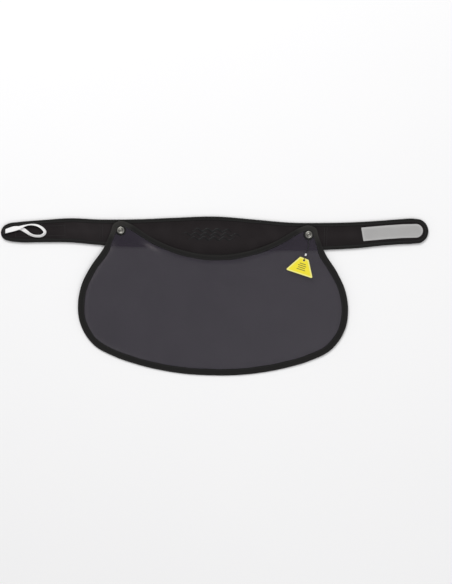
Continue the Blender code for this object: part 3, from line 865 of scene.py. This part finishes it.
def shell_top(x, y, depth):
    """The outer face of the band: crowned over its foam, pulled down at tape, seams and snaps."""
    front = 1 - smooth_step(np.abs(x), 120 * MM, 170 * MM)
    crown = (0.78 + 0.42 * front) * CROWN_RISE
    # Nearly flat under the hook tape, and lower over the loop tape on the other tip
    crown = crown * (1 - 0.86 * smooth_step(x, 203 * MM, 219 * MM))
    crown = crown * (1 - 0.4 * smooth_step(-x, 203 * MM, 223 * MM))
    rise = 1 - (1 - np.clip((depth - 5 * MM) / (15 * MM), 0, 1)) ** 2
    inside = smooth_step(depth, 6 * MM, 9 * MM)
    gathers = np.sin(x / (1.15 * MM) + 1.5 * np.sin(x / (9 * MM)))
    puckers = 0.10 * MM * inside * np.exp(-(depth - 6 * MM) / (4 * MM)) * gathers
    soft = 0.10 * MM * ripple(x, y, 19 * MM) * inside
    seams = sum(np.exp(-(((x - seam) / (0.8 * MM)) ** 2)) for seam in SEAMS)
    padding = crown * rise * (1 - near_snap(x, y, 7.5 * MM))
    top = SHELL_Z + padding + (puckers + soft) * (crown / CROWN_RISE)
    return top - 0.45 * MM * seams * inside


def shell_low(x, y, depth):
    """The shell's hidden face, higher on the straps."""
    return FOAM_LOW_Z + 0.55 * MM + 0.5 * MM * smooth_step(np.abs(x), 150 * MM, 168 * MM)


def on_strap(x):
    """0 on the padded front, 1 on the straps."""
    return smooth_step(np.abs(x), 150 * MM, 170 * MM)


def lining_low(x, y, depth):
    """The face against the forehead, which swells down to the plane of the tape's underside."""
    strap = on_strap(x)
    at_tape = 0.58 * MM + 0.1 * MM * strap
    swell = smooth_step(depth, 5.7 * MM, 11 * MM) * (0.55 * MM - 0.5 * MM * strap)
    pocket = near_snap(x, y, 5.2 * MM)
    quilting = 0.06 * MM * (1 + ripple(x, y, 14 * MM)) * smooth_step(depth, 7 * MM, 10 * MM)
    return (at_tape - swell + quilting) * (1 - pocket) + 0.95 * MM * pocket


def lining_top(x, y, depth):
    """The lining's hidden face."""
    return 1.55 * MM + 0.4 * MM * on_strap(x)


def shell_tone(x, y, depth):
    """Slightly paler cloth where the crown is highest, a painted highlight, and beside the tape."""
    strap = smooth_step(-x, 145 * MM, 175 * MM) * (1 - smooth_step(-x, 215 * MM, 245 * MM))
    # Painted highlight: paler towards the top of the crown, away from the tape.
    crown = smooth_step(depth, 8 * MM, 20 * MM)
    return 0.25 * crown + 0.2 * np.clip(ripple(x, y, 40 * MM), 0, 1) + 0.35 * strap


def tape_profile(width, low, top, corner):
    """A tape folded round an edge, as (depth, height): outer face, then the hidden inner face."""
    stitch = width - STITCH_INSET
    dip = 0.10 * MM
    face = [(width, -0.12 * MM), (width - 0.35 * MM, 0), (stitch + 0.5 * MM, 0), (stitch, -dip)]
    face += [(stitch - 0.5 * MM, 0), ((stitch + corner) / 2, 0.03 * MM)]
    turns = [math.radians(turn) for turn in np.linspace(0, 90, 7)]
    bend = [(corner * (1 - math.sin(turn)), -corner * (1 - math.cos(turn))) for turn in turns]
    upper = [(depth, top + drop) for depth, drop in face + bend]
    lower = [(depth, low - drop) for depth, drop in (face + bend)[::-1]]
    inner = TAPE_THICK
    hidden = [
        (width, low + inner + 0.12 * MM), (corner, low + inner), (inner, low + corner),
        (inner, top - corner), (corner, top - inner), (width, top - inner - 0.12 * MM),
    ]
    return np.array(upper + lower + hidden)


def tape_mesh(name, outline, widths, low, top, corner, lighten=None):
    """A binding tape round an outline, puckered a little where its stitches pull it."""
    line = evenly(outline, CELL, closed=True)
    along, whole = lengths_along(line, closed=True)
    profiles, tones = [], []
    for spot, width in zip(along, widths(line)):
        profile = tape_profile(width, low, top, corner)
        pull, drift = (
            math.sin(spot * TURN * round(whole / period) / whole)
            for period in (PULL_PERIOD, DRIFT_PERIOD)
        )
        inner_part = np.clip(profile[:, 0] / width, 0, 1) ** 2
        profile[:, 0] += inner_part * (0.10 * pull + 0.16 * drift) * MM
        profile[:, 1] += np.sign(profile[:, 1] - (low + top) / 2) * inner_part * 0.05 * pull * MM
        profiles.append(profile)
        # Paler along the tape's rounded fold: a painted highlight.
        tones.append(np.exp(-((profile[:, 0] / (0.9 * MM)) ** 2)) * 0.45)
    profiles, tones = np.array(profiles), np.array(tones)
    if lighten:
        tones = tones + lighten(line)[:, None]
    return ring_mesh(name, line, inward(line), profiles, np.clip(tones, 0, 1))


def stitch_line(outline, depth, spacing):
    """Evenly spaced spots and headings along a line inside an outline."""
    line = evenly(outline, 1.0 * MM, closed=True)
    inner = evenly(line + inward(line) * np.reshape(depth, (-1, 1)), spacing, closed=True)
    return inner, headings(inner, closed=True)


def on_surface(flat, height):
    return np.column_stack([flat, height + 0 * flat[:, 0]])


def build_band(looks):
    """The band's fabric, lining, edge tape, stitches and motif.  Gives back its edge and spans."""
    edge = band_outline()
    regions = band_regions()
    layer = shrunk(evenly(edge, CELL, closed=True), LAYER_INSET)
    shell = sheet_mesh("shell", layer, CELL, shell_low, shell_top, edge, shell_tone)
    lining = sheet_mesh("lining", layer, CELL, lining_low, lining_top, edge)
    tape = tape_mesh(
        "tape", edge, lambda line: np.full(len(line), BAND_TAPE_WIDTH), 0, BAND_TOP_Z, 1.6 * MM
    )
    fabrics = sliced("fabric", shell, looks["shell"], regions)
    linings = sliced("inner_lining", lining, looks["lining"], regions)
    tapes = sliced("edge_tape", tape, looks["tape"], regions)
    for _, word in SIDES:
        for part in ("front", "strap", "tip"):
            name = f"{word}_{part}"
            shell_nodes, lining_nodes = [f"{name}_shell"], [f"{name}_lining"]
            if part == "tip":
                tape_nodes = [f"{name}_binding"]
            else:
                tape_nodes = [f"{name}_top_binding", f"{name}_bottom_binding"]
            if part == "front":
                shell_nodes += [f"{name}_foam", "front_shell", "front_foam"]
                lining_nodes += ["front_lining"]
                tape_nodes += ["front_top_binding", "front_bottom_binding"]
            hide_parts(*shell_nodes)
            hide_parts(*lining_nodes)
            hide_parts(*tape_nodes)

    thread = looks["thread"]
    stitch = stitch_shape(STITCH_LENGTH, THREAD)
    flat, ways = stitch_line(edge, BAND_TAPE_WIDTH - STITCH_INSET, STITCH_PITCH)
    for label, height in (("front_stitches", BAND_TOP_Z), ("back_stitches", 0.02 * MM)):
        rows_by_region(label, stitch, on_surface(flat, height), ways, thread, regions)

    for number, seam in enumerate(SEAMS):
        for row, shift in (("a", -SEAM_HALF_GAP), ("b", SEAM_HALF_GAP)):
            rows = np.arange(-30, 30, SEAM_PITCH) * MM
            spots = np.column_stack([np.full(len(rows), seam + shift), rows])
            spots = spots[depth_inside(spots, edge) > 7 * MM]
            height = shell_top(*spots.T, depth_inside(spots, edge)) + 0.05 * MM
            ways = np.tile((0.0, 1.0), (len(spots), 1))
            label = f"seam_stitches_{number}_{row}"
            rows_by_region(label, stitch, on_surface(spots, height), ways, thread, regions)
    build_motif(looks, edge, regions)
    return edge, regions


# Each row of the motif has its shift in millimetres and its share of the span
MOTIF_SPAN = (-50 * MM, 40 * MM)
MOTIF_MIDDLE = -3 * MM
MOTIF_ROWS = ((6.2, 0.16, 0.84), (0.0, 0.0, 1.0), (-6.2, 0.1, 0.9))
MOTIF_WAVE = 15 * MM
MOTIF_HEIGHT = 2.1 * MM
MOTIF_STROKE = 1.5 * MM
MOTIF_RISE = 0.28 * MM
MOTIF_SINK = 0.3 * MM


def build_motif(looks, edge, regions):
    """A plain pattern of waves, printed in rubber on the front panel."""
    fronts = only(regions, "left_front") + only(regions, "right_front")
    start, end = MOTIF_SPAN
    shares = (-1, -0.7, 0, 0.7, 1)
    section = [(share, MOTIF_RISE * math.sqrt(1 - share * share * 0.98)) for share in shares]
    section += [(1, -MOTIF_SINK), (-1, -MOTIF_SINK)]
    for row, (shift, first, last) in enumerate(MOTIF_ROWS):
        x = np.linspace(start + first * (end - start), start + last * (end - start), 160)
        taper = np.sqrt(np.clip(np.sin(np.linspace(0.02, math.pi - 0.02, len(x))), 0.03, 1))
        y = MOTIF_MIDDLE + shift * MM + MOTIF_HEIGHT * np.sin(x / MOTIF_WAVE * TURN + row)
        line = np.column_stack([x, y])
        ahead = headings(line, closed=False)
        across = np.stack([-ahead[:, 1], ahead[:, 0]], axis=1)
        edges = []
        for share, rise in section:
            flat = line + across * (MOTIF_STROKE * share * taper)[:, None]
            height = shell_top(*flat.T, depth_inside(flat, edge))
            edges.append(np.column_stack([flat, height + rise]))
        points = np.stack(edges, axis=1)
        count, sides = points.shape[:2]
        i, j = np.meshgrid(np.arange(count - 1), np.arange(sides), indexing="ij")
        corners = [(i, j), (i + 1, j), (i + 1, j + 1), (i, j + 1)]
        faces = grid_faces(corners, sides)
        faces += end_caps(count, sides)
        mesh = outward(mesh_of(f"stroke_{row}", points.reshape(-1, 3), faces))
        sliced(f"wave_print_{row}", mesh, looks["print"], fronts)


# ---- visor

def visor_widths(line):
    """The visor's tape is narrower along its top edge and round its ears."""
    x, y = line.T
    on_top = (np.abs(x) < SNAP.x) & (y > -42 * MM)
    share = np.where(on_top, 1, smooth_step(y, -28 * MM, -14 * MM))
    return VISOR_TAPE_WIDTH + (VISOR_TOP_TAPE_WIDTH - VISOR_TAPE_WIDTH) * share


def ear_tone(line):
    """Paler tape round each press stud."""
    reach = np.hypot(np.abs(line[:, 0]) - SNAP.x, line[:, 1])
    return 0.75 * (1 - smooth_step(reach, 13 * MM, 23 * MM))


def film_wave(x, y, depth):
    slow = ripple(x, y, 150 * MM) + 0.5 * ripple(y, x, 83 * MM)
    return 0.22 * MM * slow * smooth_step(depth, 9 * MM, 34 * MM)


def film_highlights(x, y, depth):
    """Painted highlights: a pale patch of reflected light beside the left snap, and a pale line
    beside the tape where the film is creased.
    """
    along, across = x + 95 * MM, y + 24 * MM + (x + 95 * MM) * 0.46
    # Both marks are painted highlights: light reflected off the glossy film.
    highlight_patch = np.exp(-((along / (9 * MM)) ** 2) - (across / (2.4 * MM)) ** 2)
    crease = np.exp(-(((depth - 11.5 * MM) / (1.8 * MM)) ** 2)) * smooth_step(-x, 60 * MM, 150 * MM)
    fading = 0.4 + 0.6 * (1 - smooth_step(-y, 60 * MM, 100 * MM))
    crease = crease * smooth_step(-y, 14 * MM, 30 * MM) * fading
    return 0.75 * highlight_patch + 0.45 * crease


def build_visor(looks):
    """The film and its tape with their stitches."""
    edge = visor_outline()
    regions = visor_regions()
    layer = shrunk(evenly(edge, 2.0 * MM, closed=True), LAYER_INSET)
    film = in_visor(sheet_mesh(
        "film", layer, FILM_CELL, lambda x, y, d: film_wave(x, y, d) - FILM_HALF,
        lambda x, y, d: film_wave(x, y, d) + FILM_HALF, edge, film_highlights,
    ))
    tape = in_visor(tape_mesh(
        "tape", edge, visor_widths, -VISOR_TAPE_HALF, VISOR_TAPE_HALF, 0.85 * MM, ear_tone
    ))
    films = sliced("film", film, looks["film"], regions)
    tapes = sliced("visor_tape", tape, looks["tape"], regions)
    for _, word in SIDES:
        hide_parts("visor_film", f"{word}_visor_film")
        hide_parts(f"{word}_visor_film", f"{word}_ear_film")
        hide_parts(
            "visor_top_binding", "visor_bottom_binding", f"{word}_visor_top_binding"
        )
        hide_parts(f"{word}_visor_side_binding", f"{word}_ear_binding")
    for name, part in films.items():
        spots = np.array([vert.co for vert in part.data.vertices])
    stitch = stitch_shape(STITCH_LENGTH, THREAD)
    line = evenly(edge, 1.0 * MM, closed=True)
    flat, ways = stitch_line(edge, visor_widths(line) - STITCH_INSET, STITCH_PITCH)
    for face, height in (("front", VISOR_TAPE_HALF), ("back", -VISOR_TAPE_HALF)):
        spots = on_surface(flat, height)
        label = f"visor_{face}_stitches"
        rows_by_region(label, stitch, spots, ways, looks["thread"], regions, VISOR_PLACE)


# ---- snaps

# Turned profiles of (radius, height) in millimetres
CAP_PROFILE = [
    (0, -0.9), (0.75, -0.9), (0.75, 0.5), (4.9, 0.5), (5.3, 0.6), (5.48, 0.85), (5.45, 1.15),
    (5.25, 1.42), (4.9, 1.62), (4.45, 1.72), (4.0, 1.7), (3.6, 1.58), (3.2, 1.44), (2.8, 1.38),
    (2.45, 1.42), (2.15, 1.56), (1.85, 1.72), (1.5, 1.76), (1.2, 1.66), (0.95, 1.42),
    (0.6, 1.24), (0, 1.18),
]
SOCKET_PROFILE = [
    (1.15, -1.0), (2.1, -1.0), (2.15, -2.42), (4.5, -2.45), (4.75, -2.35), (4.82, -2.1),
    (4.82, -1.15), (4.7, -0.95), (4.3, -0.6), (3.9, -0.55), (1.15, -0.55),
]
STUD_PROFILE = [
    (1.05, 3.7), (4.4, 3.7), (4.6, 3.78), (4.6, 3.92), (4.3, 4.05), (1.75, 4.12), (1.5, 4.3),
    (1.5, 4.85), (1.72, 5.1), (1.72, 5.3), (1.5, 5.58), (1.05, 5.6),
]
POST_PROFILE = [
    (0, 0.3), (2.6, 0.3), (3.4, 0.34), (3.85, 0.44), (4.0, 0.56), (3.85, 0.7), (0.7, 0.7),
    (0.7, 5.2), (0, 5.2),
]
WASHER_PROFILE = [(4.9, 0.26), (7.9, 0.26), (8.2, 0.34), (7.9, 0.44), (4.9, 0.44)]
SNAP_SIDES = 56


def cap_recess_shade(radius):
    """Painted shade: darker in the ring-shaped recess and in the dimple in its middle."""
    return 0.75 * np.exp(-(((radius - 2.9 * MM) / (0.8 * MM)) ** 2)) + 0.8 * (radius < 1.1 * MM)


def build_snaps(looks):
    """Each press stud: cap, socket and washer on the ear, stud and post on the band."""
    for side, word in SIDES:
        on_band = Matrix.Translation((side * SNAP.x, 0, 0))
        on_visor = Matrix.Translation((side * SNAP.x, 0, SNAP.z)) @ Matrix.Rotation(TILT, 4, "X")
        for part, profile, place, bored, body, tone in (
            ("cap", CAP_PROFILE, on_visor, False, "ear", cap_recess_shade),
            ("socket", SOCKET_PROFILE, on_visor, True, "ear", None),
            ("stud", STUD_PROFILE, on_band, True, "front", None),
            ("post", POST_PROFILE, on_band, False, "front", None),
        ):
            mesh = turned_mesh(part, profile, SNAP_SIDES, bored, tone)
            mesh.transform(place)
            turned = piece(f"{word}_press_{part}", mesh, looks["metal"])
            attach(turned, f"{word}_{body}")
            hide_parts(f"{word}_snap_{part}")
        # A dark washer under each cap, which also stands in for the ring of shadow round the stud.
        mesh = turned_mesh("washer", WASHER_PROFILE, SNAP_SIDES, bored=True)
        mesh.transform(on_visor)
        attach(piece(f"{word}_press_washer", mesh, looks["print"]), f"{word}_ear")


# ---- hook and loop tapes

HOOK_PITCH = (1.5 * MM, 1.2 * MM)
LOOP_PITCH = (1.5 * MM, 1.5 * MM)
STRIP_STITCH_PITCH = 2.9 * MM


def spots_inside(outline, pitch, depth, heading):
    """A grid of spots inside an outline, its rows turned to a heading."""
    turn = np.array(Matrix.Rotation(heading, 2))
    middle = outline.mean(axis=0)
    local = (outline - middle) @ turn
    low, high = local.min(axis=0), local.max(axis=0)
    xs, ys = (np.arange(*ends) for ends in zip(low, high, pitch))
    grid = np.array([(x, y) for y in ys for x in xs]) @ turn.T + middle
    return grid[depth_inside(grid, outline) > depth]


def flat_ways(angles):
    return np.column_stack([np.cos(angles), np.sin(angles)])


def build_tapes(looks, band_edge, regions):
    """The hook tape with its hooks on the right tip, the loop tape with its pile on the left."""
    right_tip, left_tip = only(regions, "right_tip"), only(regions, "left_tip")
    thread = looks["thread"]

    hook_low, hook_high = (corner.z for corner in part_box("hook_tape"))
    outline = strip_outline(HOOK_LINE, HOOK_HALF, STRIP_SLANT, round_end=True)
    outline = evenly(outline, 1.0 * MM, closed=True)
    base_top = hook_high - 0.62 * MM

    def tape_top(x, y, depth):
        rounding = 0.18 * MM * np.exp(-depth / (0.5 * MM))
        return base_top + 0.04 * MM * ripple(x, y, 16 * MM) - rounding

    base = sheet_mesh("hook", outline, CELL, lambda x, y, d: hook_low, tape_top)
    made = sliced("hook_base", base, looks["hook"], right_tip)
    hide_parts("hook_tape")
    hook_line = [(0, 0, -0.1), (-0.05, 0, 0.35), (0.08, 0, 0.58), (0.32, 0, 0.6), (0.42, 0, 0.42)]
    hook = bent_wire(np.array(hook_line) * MM, 0.11 * MM, 5)
    slope = math.atan2(HOOK_LINE[-1][1] - HOOK_LINE[0][1], HOOK_LINE[-1][0] - HOOK_LINE[0][0])
    spots = spots_inside(outline, HOOK_PITCH, 3.2 * MM, slope)
    rng = np.random.default_rng(7)
    leaning = slope + rng.normal(0, 0.22, len(spots))
    leaning += np.where(rng.random(len(spots)) < 0.5, 0, math.pi)
    spots = on_surface(spots, base_top)
    rows_by_region("hooks", hook, spots, flat_ways(leaning), looks["hook"], right_tip)
    stitch = stitch_shape(2.2 * MM, 0.4 * MM)
    flat, ways = stitch_line(outline, 1.7 * MM, STRIP_STITCH_PITCH)
    spots = on_surface(flat, base_top)
    rows_by_region("hook_stitches", stitch, spots, ways, looks["grey_thread"], right_tip)

    loop_low, loop_high = (corner.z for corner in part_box("loop_tape"))
    outline = strip_outline(LOOP_LINE, LOOP_HALF, 0, round_end=False)
    outline = evenly(outline, 1.0 * MM, closed=True)
    base_low = loop_low + 0.22 * MM
    base = sheet_mesh("loop", outline, CELL, lambda x, y, d: base_low, lambda x, y, d: loop_high)
    made = sliced("loop_base", base, looks["loop"], left_tip)
    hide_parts("loop_tape")
    arch = np.radians(np.arange(0, 181, 36))
    arch_line = np.column_stack([0.55 * np.cos(arch), 0 * arch, -0.26 * np.sin(arch)])
    pile = bent_wire(arch_line * MM, 0.07 * MM, 4)
    spots = spots_inside(outline, LOOP_PITCH, 2.6 * MM, 0)
    spots = on_surface(spots + rng.uniform(-0.4, 0.4, spots.shape) * MM, base_low)
    ways = flat_ways(rng.uniform(0, math.pi, len(spots)))
    rows_by_region("loop_pile", pile, spots, ways, looks["loop"], left_tip)
    flat, ways = stitch_line(outline, 1.5 * MM, STRIP_STITCH_PITCH)
    above = shell_top(*flat.T, depth_inside(flat, band_edge)) - 0.05 * MM
    for label, height in (("loop_stitches", base_low), ("through_stitches", above)):
        rows_by_region(label, stitch, on_surface(flat, height), ways, thread, left_tip)


# ---- storage loop

def elastic_line():
    """The flat elastic's middle line, and how far it leans at each point.  The section's curve is
    |u|^3 + |v|^3 = 1, so its lowest point is below the line by the rise."""
    x, y, lift, lean = np.array(LOOP_ROUTE).T
    lean = np.radians(lean)
    standing, lying = ELASTIC_WIDTH / 2 * np.sin(lean), ELASTIC_THICK / 2 * np.cos(lean)
    rise = (standing ** 1.5 + lying ** 1.5) ** (2 / 3)
    points = np.column_stack([x, y, (ELASTIC_REST + rise) / MM + lift])
    smooth = curve_through(points, 16, closed=False) * MM
    line = evenly(smooth, 0.45 * MM, closed=False)
    reached, whole = lengths_along(smooth, closed=False)
    along = lengths_along(line, closed=False)[0]
    return line, np.interp(along / along[-1] * whole, reached[::16], lean)


def build_storage_loop(looks):
    """The flat elastic, ribbed along its length."""
    line, lean = elastic_line()
    turn = np.arange(60) / 60 * TURN
    wide, thick = (np.sign(part) * np.abs(part) ** (2 / 3) for part in (np.cos(turn), np.sin(turn)))
    ribs = np.cos(wide * ELASTIC_RIBS * math.pi) * ELASTIC_RELIEF * (np.abs(thick) > 0.6)
    wide, thick = wide * ELASTIC_WIDTH / 2, thick * (ELASTIC_THICK / 2 - ELASTIC_RELIEF + ribs)
    cosine, sine = np.cos(lean)[:, None], np.sin(lean)[:, None]
    aside, above = wide * cosine + thick * sine, thick * cosine - wide * sine
    mesh = swept_mesh("storage_cord", line, aside, above)
    cord = piece("storage_cord", mesh, looks["elastic"])
    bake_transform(cord)
    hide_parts("storage_loop_cord")


def build_anchor(looks, regions):
    """The scrap of tape sewn over the elastic's two ends."""
    corners = [(-318.4, -11.2), (-313.2, -11.8), (-313.0, -0.2), (-317.6, -0.8)]
    outline = evenly(rounded(corners, 1.3) * MM, 0.5 * MM, closed=True)
    middle, half = (LOOP_ROUTE[0][1] + LOOP_ROUTE[-1][1]) / 2 * MM, ELASTIC_WIDTH / 2 + 0.4 * MM
    plain = BAND_TOP_Z + 0.35 * MM
    over_elastic = ELASTIC_REST + 2 * ELASTIC_THICK + 0.8 * MM + TAPE_THICK - plain

    def top(x, y, depth):
        hump = 1 - smooth_step(np.abs(y - middle), half, half + 2 * MM)
        away = smooth_step(x, -318.6 * MM, -314.8 * MM)
        return plain + over_elastic * hump * away

    def low(x, y, depth):
        return top(x, y, depth) - TAPE_THICK

    mesh = sheet_mesh("anchor", outline, 0.5 * MM, low, top)
    patch = piece("loop_anchor", mesh, looks["tape"])
    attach(patch, "left_tip")
    stitch = stitch_shape(1.5 * MM, 0.4 * MM)
    y = np.arange(-10.8, -0.8, 0.55) * MM
    x = -314.7 * MM + 0.45 * MM * np.where(np.arange(len(y)) % 2, 1, -1)
    ways = np.tile((1.0, 0.25), (len(y), 1))
    ways /= np.linalg.norm(ways, axis=1)[:, None]
    spots = np.column_stack([x, y, top(x, y, 0 * x) + 0.02 * MM])
    left_tip = only(regions, "left_tip")
    rows_by_region("anchor_stitches", stitch, spots, ways, looks["thread"], left_tip)


# ---- hang tag

# Each plain bar's length and its shift up the tag, and the string lock's turned profile
TAG_INK_ROWS = ((9.5, 0.5), (12.5, -2.5), (11.0, -5.5), (13.5, -8.5))
LOCK_PROFILE = [
    (0.6, -1.7), (1.0, -1.8), (1.3, -1.66), (1.48, -1.35), (1.54, -0.9), (1.42, -0.55),
    (1.42, 0.55), (1.54, 0.9), (1.48, 1.35), (1.3, 1.66), (1.0, 1.8), (0.6, 1.7),
]
NOOSE_RADIUS = 5.55 * MM + STRING / 2
NOOSE_HEIGHT, NOOSE_SLANT = 1.54 * MM, 0.08 * MM
TWIST_PITCH = 1.6 * MM


def circle(centre, radius):
    turns = np.arange(20) / 20 * TURN
    return np.column_stack([centre[0] + radius * np.cos(turns), centre[1] + radius * np.sin(turns)])


def twisted_string(name, line):
    """A string of two twisted strands along a line in the plane of the visor, and its route."""
    route = np.array([VISOR_PLACE @ Vector(point) for point in line])
    along = lengths_along(route, closed=False)[0]
    angle = np.arange(10) / 10 * TURN
    radii = STRING / 2 * (0.94 + 0.09 * np.cos(2 * angle - along[:, None] / TWIST_PITCH * TURN))
    return tube_mesh(name, route, radii), route


def tag_panel_line():
    """The printed panel's outline: the card's less its border, going round the hole."""
    line = shrunk(evenly(rounded(TAG_CORNERS, 3.2), 0.4, closed=True), 1.9)
    from_hole = line - TAG_HOLE
    reach = np.linalg.norm(from_hole, axis=1)[:, None]
    return TAG_HOLE + from_hole * np.maximum(1, 2.75 / reach)


def tag_bar_lines():
    """The outlines of the plain bars, which stand for the tag's lettering."""
    ahead = (Vector(TAG_CORNERS[1]) - Vector(TAG_CORNERS[0])).normalized()
    up = Vector((-ahead.y, ahead.x))
    for length, shift in TAG_INK_ROWS:
        centre = Vector((131.2, -48.6)) + up * (shift + 4.4)
        corners = [
            centre + ahead * (sx * length / 2) + up * (sy * 0.55)
            for sx, sy in ((-1, -1), (1, -1), (1, 1), (-1, 1))
        ]
        yield rounded(corners, 0.5, steps=4)


def build_tag(looks):
    """The card with its printed panel and plain bars, the string, its noose and its lock."""
    low, high, printed = TAG_LOW * MM, TAG_HIGH * MM, (TAG_HIGH + 0.03) * MM
    loops = [rounded(TAG_CORNERS, 1.6) * MM, circle(TAG_HOLE, 1.6) * MM]
    card = in_visor(pierced_mesh("card", loops, low, high))
    card = piece("tag_board", card, looks["card"])
    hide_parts("tag_card")
    loops = [tag_panel_line() * MM, circle(TAG_HOLE, 2.1) * MM]
    panel = in_visor(pierced_mesh("panel", loops, high - 0.05 * MM, printed))
    panel = piece("tag_panel", panel, looks["panel"])
    inks = []
    for number, line in enumerate(tag_bar_lines()):
        mesh = pierced_mesh("bar", [line * MM], printed - 0.02 * MM, printed + 0.03 * MM)
        inks.append(piece(f"tag_bar_{number}", in_visor(mesh), looks["ink"]))

    line = curve_through(STRING_ROUTE, 8, closed=False) * MM
    mesh, route = twisted_string("tag_cord", evenly(line, 0.25 * MM, closed=False))
    string = piece("tag_cord", mesh, looks["string"])
    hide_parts("tag_string")

    turns = np.linspace(0, TURN, 90)
    ring = np.column_stack([
        SNAP.x + NOOSE_RADIUS * np.cos(turns - math.pi / 2),
        NOOSE_RADIUS * np.sin(turns - math.pi / 2),
        NOOSE_HEIGHT + NOOSE_SLANT * np.cos(turns),
    ])
    noose = piece("tag_noose", twisted_string("tag_noose", ring)[0], looks["string"])

    mesh = turned_mesh("lock", LOCK_PROFILE, 28, bored=True)
    ahead = Vector(STRING_ROUTE[11]) - Vector(STRING_ROUTE[9])
    mesh.transform(ahead.to_track_quat("Z", "Y").to_matrix().to_4x4())
    mesh.transform(Matrix.Translation(LOCK_CENTRE * MM))
    lock = piece("tag_bead", in_visor(mesh), looks["lock"])
    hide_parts("tag_lock")
    on_string = [card, panel, noose, lock] + inks
    for part in [string] + on_string:
        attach(part, "hang_tag")


# ---- stage

FLOOR_Z = -0.25 * MM
FLOOR_HALF = 12.0
# Each lamp's name, place, size in metres and power in watts
LAMPS = (("key", (-0.5, 1.6, 2.2), 1.6, 44), ("fill", (0.9, -1.3, 2.4), 2.0, 18))
LAMP_TARGET = Vector((0, -0.09, 0))
SURROUND_COLOUR, SURROUND_STRENGTH = (0.99, 0.985, 1.0, 1), 0.43
VIEW_CENTRE = (18.9 * MM, -88.7 * MM)
VIEW_LONG_SIDE = 876 * MM
VIEW_ROLL = 1.34
LENS, SENSOR = 100.0, 36.0


def build_camera():
    """Straight down on the object, rolled a little, as far away as the lens needs."""
    data = bpy.data.cameras.new("camera")
    data.lens, data.sensor_width = LENS, SENSOR
    data.clip_start, data.clip_end = 0.05, 50
    camera = bpy.data.objects.new("camera", data)
    camera.location = (*VIEW_CENTRE, VIEW_LONG_SIDE * LENS / SENSOR)
    camera.rotation_euler.z = math.radians(VIEW_ROLL)
    bpy.context.scene.collection.objects.link(camera)
    bpy.context.scene.camera = camera


def area_light(name, location, size, power):
    data = bpy.data.lights.new(name, "AREA")
    data.shape, data.size, data.energy = "DISK", size, power
    lamp = bpy.data.objects.new(name, data)
    lamp.location = location
    aim = LAMP_TARGET - Vector(location)
    lamp.rotation_euler = aim.to_track_quat("-Z", "Y").to_euler()
    bpy.context.scene.collection.objects.link(lamp)


def build_stage():
    """A pale floor, a soft even surround and two large soft lamps."""
    mesh = bpy.data.meshes.new("floor")
    ways = ((-1, -1), (1, -1), (1, 1), (-1, 1))
    corners = [(x * FLOOR_HALF, y * FLOOR_HALF, FLOOR_Z) for x, y in ways]
    mesh.from_pydata(corners, [], [(0, 1, 2, 3)])
    mesh.materials.append(floor_material())
    floor = bpy.data.objects.new("floor", mesh)
    bpy.context.scene.collection.objects.link(floor)
    for lamp in LAMPS:
        area_light(*lamp)
    world = bpy.data.worlds.new("surround")
    world.use_nodes = True
    background = world.node_tree.nodes["Background"]
    background.inputs["Color"].default_value = SURROUND_COLOUR
    background.inputs["Strength"].default_value = SURROUND_STRENGTH
    bpy.context.scene.world = world
    bpy.context.scene.view_settings.view_transform = "Standard"


build_camera()
looks = all_materials()
build_storage_loop(looks)
build_tag(looks)
band_edge, band_spans = build_band(looks)
build_anchor(looks, band_spans)
build_visor(looks)
build_snaps(looks)
build_tapes(looks, band_edge, band_spans)
build_stage()
